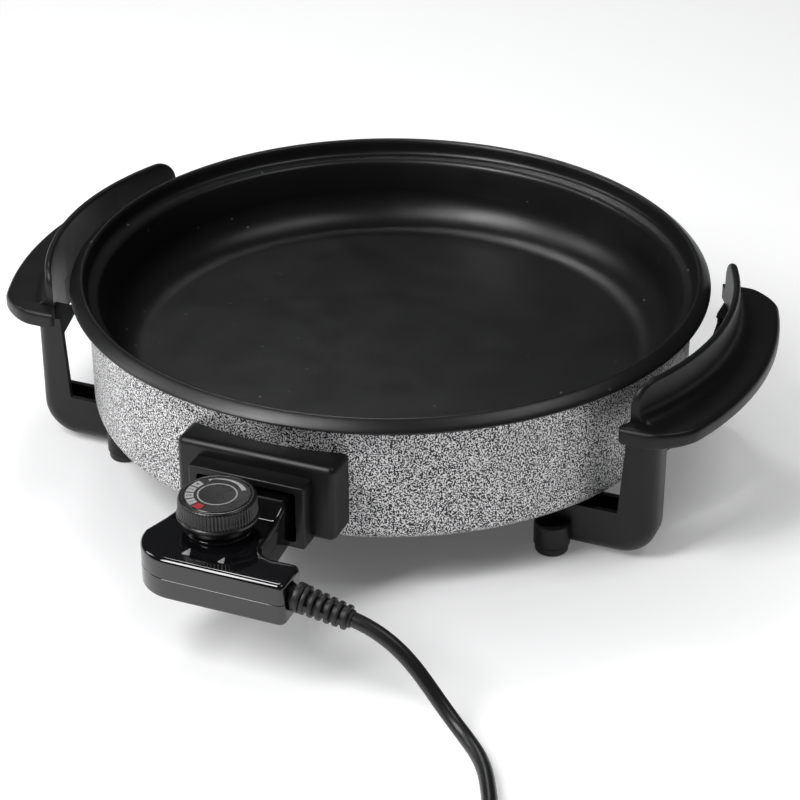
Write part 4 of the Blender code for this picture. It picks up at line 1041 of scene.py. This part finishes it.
def make_relief():
    """The strain relief: a plain collar, then rings that taper, joined by short webs."""
    inside, core = CORD_R + 0.0002, 0.0060
    profile = [(inside, -0.0040), (0.0080, -0.0040), (0.0082, -0.0038), (0.0082, -0.0012), (0.0080, -0.0010)]
    profile += [(0.0062, -0.0010), (0.0062, 0.0056)]
    ribs, first, edge = 7, 0.0062, 0.0007
    pitch = (RELIEF_LENGTH - first) / ribs
    webs = []
    for i in range(ribs):
        start = first + i * pitch
        radius = 0.0089 - 0.0015 * i / (ribs - 1)
        wide = pitch * (0.92 if i == 0 else 0.56)
        profile.append((core + 0.0002, start))
        profile += arc((radius - edge, start + edge), edge, -90, 0, 2)
        profile += arc((radius - edge, start + wide - edge), edge, 0, 90, 2)
        profile.append((core + 0.0002 - 0.0008 * i / ribs, start + wide))
        if i + 1 < ribs:
            webs.append((start + wide - 0.0006, start + pitch + 0.0006, radius - 0.0008, i % 2 * pi / 2))
    profile.append((inside + 0.0006, RELIEF_LENGTH - 0.0002))
    profile.append((inside, RELIEF_LENGTH))
    steps = []
    for low, high, radius, turn in webs:
        web = rounded_block("web", (-radius, -0.0016, low), (radius, 0.0016, high), 0.0003, 2)
        web.transform(Matrix.Rotation(turn, 4, "Z"))
        steps.append((JOIN, web))
    bore = turned("bore", [(0, -0.006), (inside, -0.006), (inside, 0.046), (0, 0.046)], 64)
    steps.append((CUT, bore))
    mesh = combined(turned("relief", profile, 64), steps, 30)
    mesh.transform(Matrix.Translation(RELIEF_START) @ Matrix.Rotation(pi / 2 + RELIEF_DROP, 4, "Y"))
    piece("cord_sleeve", mesh, RUBBER, "thermostat", "strain_relief")


def make_knob():
    """The control knob: a dished top, a ribbed skirt and a thin flange round its foot."""
    recess = KNOB_TOP - 0.0008
    shoulder_r = 0.0230
    top = [(0, recess), (DIAL_R + 0.0002, recess), (DIAL_R + 0.0003, KNOB_TOP - 0.0001)]
    top += [(DIAL_R + 0.0005, KNOB_TOP), (0.0206, KNOB_TOP)]
    shoulder = arc((shoulder_r - 0.0024, KNOB_TOP - 0.0024), 0.0024, 78, 0, 6)
    skirt = [(0.0231, 0.0945), (0.0232, 0.0925), (0.0233, 0.0900), (0.0234, 0.0880), (0.0234, 0.0874)]
    flange = [(0.0236, 0.0871), *arc((KNOB_FLANGE_R - 0.0005, 0.0864), 0.0005, 70, 0, 3)]
    flange += [*arc((KNOB_FLANGE_R - 0.0005, 0.0852), 0.0005, 0, -70, 3), (0.0231, 0.0846)]
    foot = [(0.0222, 0.0834), (0.0220, 0.0828), (0.0215, 0.0810), (0.0213, KNOB_LOW)]
    under = [(0.0194, KNOB_LOW), (0.0194, 0.0935), (0.0068, 0.0935), (0.0068, 0.0816), (0.0033, 0.0816)]
    profile = [*top, *shoulder, *skirt, *flange, *foot, *under, (0.0033, 0.0925), (0, 0.0925)]
    first, last = len(top) + 3, len(top) + len(shoulder) + len(skirt) - 2
    ribs = 66

    def ripple(angle, i):
        if not first <= i <= last:
            return 0.0
        depth = 0.00055 * min(1.0, (i - first + 1) / 3)
        return -depth * (0.5 - 0.5 * cos(ribs * angle)) ** 1.5

    mesh = placed(turned("knob", profile, ribs * 8, 50, ripple), 0, KNOB_Y, 0)
    piece("knob_body", mesh, KNOB_PLASTIC, "knob", "knob")

    spindle_low, spindle_high = frame_box("knob_spindle")
    spindle = rod("spindle", 0.003, (0, KNOB_Y, spindle_low.z), (0, KNOB_Y, spindle_high.z), 40, 0.0006)
    piece("spindle", spindle, STEEL, "knob", "knob_spindle")


INK_THICK, DIGIT_THICK, DIGIT_SIZE, FIRST_STEP = 0.00008, 0.00004, 0.0042, 150.0


def dial_sector(name, inner, outer, start, end, z, material, inner_end=None):
    """A printed patch on the dial between two radii and two angles in degrees."""
    pieces = max(2, round(abs(end - start) / 3))
    rings = []
    inner_end = inner if inner_end is None else inner_end
    for i in range(pieces + 1):
        angle = radians(start + (end - start) * i / pieces)
        near = inner + (inner_end - inner) * i / pieces
        section = [(near, z), (outer, z), (outer, z + INK_THICK), (near, z + INK_THICK)]
        rings.append([(r * cos(angle), KNOB_Y + r * sin(angle), height) for r, height in section])
    closed = abs(end - start) >= 360
    mesh = skinned(name, rings[:-1] if closed else rings, 30, closed)
    piece(name, mesh, material, "knob")


def make_dial():
    """The dial plate with its ring, its heat scale, its off mark and its sweep arrow."""
    low, high = frame_box("dial_plate")
    edge = 0.0003
    profile = [(0, low.z), (DIAL_R - edge, low.z), (DIAL_R, low.z + 0.0001)]
    profile += [(DIAL_R, high.z - edge), (DIAL_R - edge, high.z), (0.008, high.z), (0, high.z)]
    plate = placed(turned("dial", profile, 96), 0, KNOB_Y, 0)
    piece("dial_face", plate, KNOB_PLASTIC, "knob", "dial_plate")
    z = high.z + 0.00002
    dial_sector("dial_ring", 0.0109, 0.0117, 0, 360, z, WHITE_INK)
    inner, outer, wide, gap = 0.0136, 0.0186, 19.5, 4.0
    for number in range(4):
        begin = FIRST_STEP + number * (wide + gap)
        dial_sector(f"dial_step_{4 - number}", inner, outer, begin, begin + wide, z, WHITE_INK)
        digit(str(4 - number), (inner + outer) / 2, radians(begin + wide / 2), z + 0.0001)
    begin = FIRST_STEP + 4 * (wide + gap)
    dial_sector("dial_off", inner, outer, begin, begin + wide, z, RED_INK)
    dial_sector("dial_sweep", 0.0165, 0.0170, 126, 37, z, WHITE_INK, 0.0141)
    dial_sector("dial_sweep_tip", 0.0153, 0.0172, 133, 126, z, WHITE_INK, 0.0163)


def digit(text, radius, angle, z):
    """A small dark numeral on the dial, upright as seen from the middle of the dial."""
    curve = bpy.data.curves.new("digit_" + text, "FONT")
    curve.body = text
    curve.size = DIGIT_SIZE
    curve.extrude = DIGIT_THICK
    curve.align_x = curve.align_y = "CENTER"
    holder = new_object("digit", curve)
    mesh = evaluated_mesh(holder)
    bpy.data.objects.remove(holder, do_unlink=True)
    where = Matrix.Translation((radius * cos(angle), KNOB_Y + radius * sin(angle), z))
    mesh.transform(where @ Matrix.Rotation(angle - pi / 2, 4, "Z"))
    piece("dial_digit_" + text, mesh, KNOB_PLASTIC, "knob")


def make_bezel():
    """The stepped ring that the knob stands in."""
    low, high = frame_box("knob_bezel")
    profile = [(0.0048, low.z), (BEZEL_R + 0.0008, low.z)]
    profile += arc((BEZEL_R + 0.0004, low.z + 0.0008), 0.0004, -60, 60, 4)
    profile += [(BEZEL_R + 0.0001, low.z + 0.0013), (BEZEL_R, low.z + 0.0017)]
    profile += [*arc((BEZEL_R - 0.0008, high.z - 0.0008), 0.0008, 0, 90, 5), (0.0048, high.z)]
    mesh = placed(turned("bezel", profile, 128), 0, KNOB_Y, 0)
    piece("dial_bezel", mesh, CASE_PLASTIC, "thermostat", "knob_bezel")


def make_probe_and_contacts():
    """The probe that enters the pan's guide, and the brass sleeves that take its terminals."""
    low, high = frame_box("sensor_probe")
    height = middle("sensor_probe").z
    probe = rod("probe", half_width("sensor_probe"), (0, low.y, height), (0, high.y, height), 48, 0.0020)
    piece("probe_rod", probe, STEEL, "thermostat", "sensor_probe")
    for word in ("left", "right"):
        low, high = frame_box(f"contact_sleeve_{word}")
        x, _, z = (low + high) / 2
        length = high.y - low.y
        profile = [(0, 0.002), (0.0028, 0.002), (0.0028, length - 0.0006), (0.0034, length)]
        profile += [(0.0037, length), (0.0039, length - 0.0003), (0.0039, 0.0003), (0.0036, 0), (0, 0)]
        mesh = along(turned("sleeve", profile, 48), (x, low.y, z), (x, high.y, z))
        piece(f"contact_{word}", mesh, BRASS, "thermostat", f"contact_sleeve_{word}")


def finish_frame_nodes():
    """The sub-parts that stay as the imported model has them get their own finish."""
    for node in ("contact_block", "thermostat_switch"):
        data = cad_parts[node].data
        data.materials.clear()
        data.materials.append(CERAMIC)


# ---- stage ----
LIGHT_DISTANCE, LIT_HEIGHT = 1.7, 0.08


def area_light(name, size, power, direction):
    """A rectangular soft light that looks at the middle of the pan from a direction."""
    data = bpy.data.lights.new(name, "AREA")
    data.shape = "RECTANGLE"
    data.size, data.size_y = size
    data.energy = power
    made = new_object(name, data)
    towards = Vector(direction).normalized()
    made.location = AXIS + Vector((0, 0, LIT_HEIGHT)) + towards * LIGHT_DISTANCE
    made.rotation_euler = towards.to_track_quat("Z", "Y").to_euler()


def make_stage():
    """White paper floor, a tall soft box at the front left, three weaker ones and a pale surround."""
    shape = bmesh.new()
    bmesh.ops.create_grid(shape, x_segments=8, y_segments=8, size=6.0)
    floor = new_object("floor", mesh_from("floor", shape))
    floor.data.materials.append(floor_paper())
    for name, size, power, direction in (
        ("key_front_left", (0.50, 1.00), 22.0, (-0.33, -0.60, 0.72)),
        ("side_right", (0.60, 0.50), 4.0, (0.50, 0.0, 0.86)),
        ("rear_left", (0.42, 0.34), 5.5, (-0.33, 0.48, 0.81)),
        ("side_left", (0.40, 0.80), 4.5, (-0.84, -0.25, 0.48)),
    ):
        area_light(name, size, power, direction)
    world = bpy.data.worlds.new("surround")
    world.use_nodes = True
    background = world.node_tree.nodes["Background"].inputs
    background["Color"].default_value = (0.93, 0.96, 1.0, 1.0)
    background["Strength"].default_value = 0.06
    bpy.context.scene.world = world
    bpy.context.scene.view_settings.view_transform = "Standard"


make_pan()
make_shell()
make_element()
make_socket()
make_grips()
make_legs()
make_socket_screws()
make_case()
make_case_marks()
make_relief()
make_knob()
make_dial()
make_bezel()
make_probe_and_contacts()
finish_frame_nodes()
make_stage()
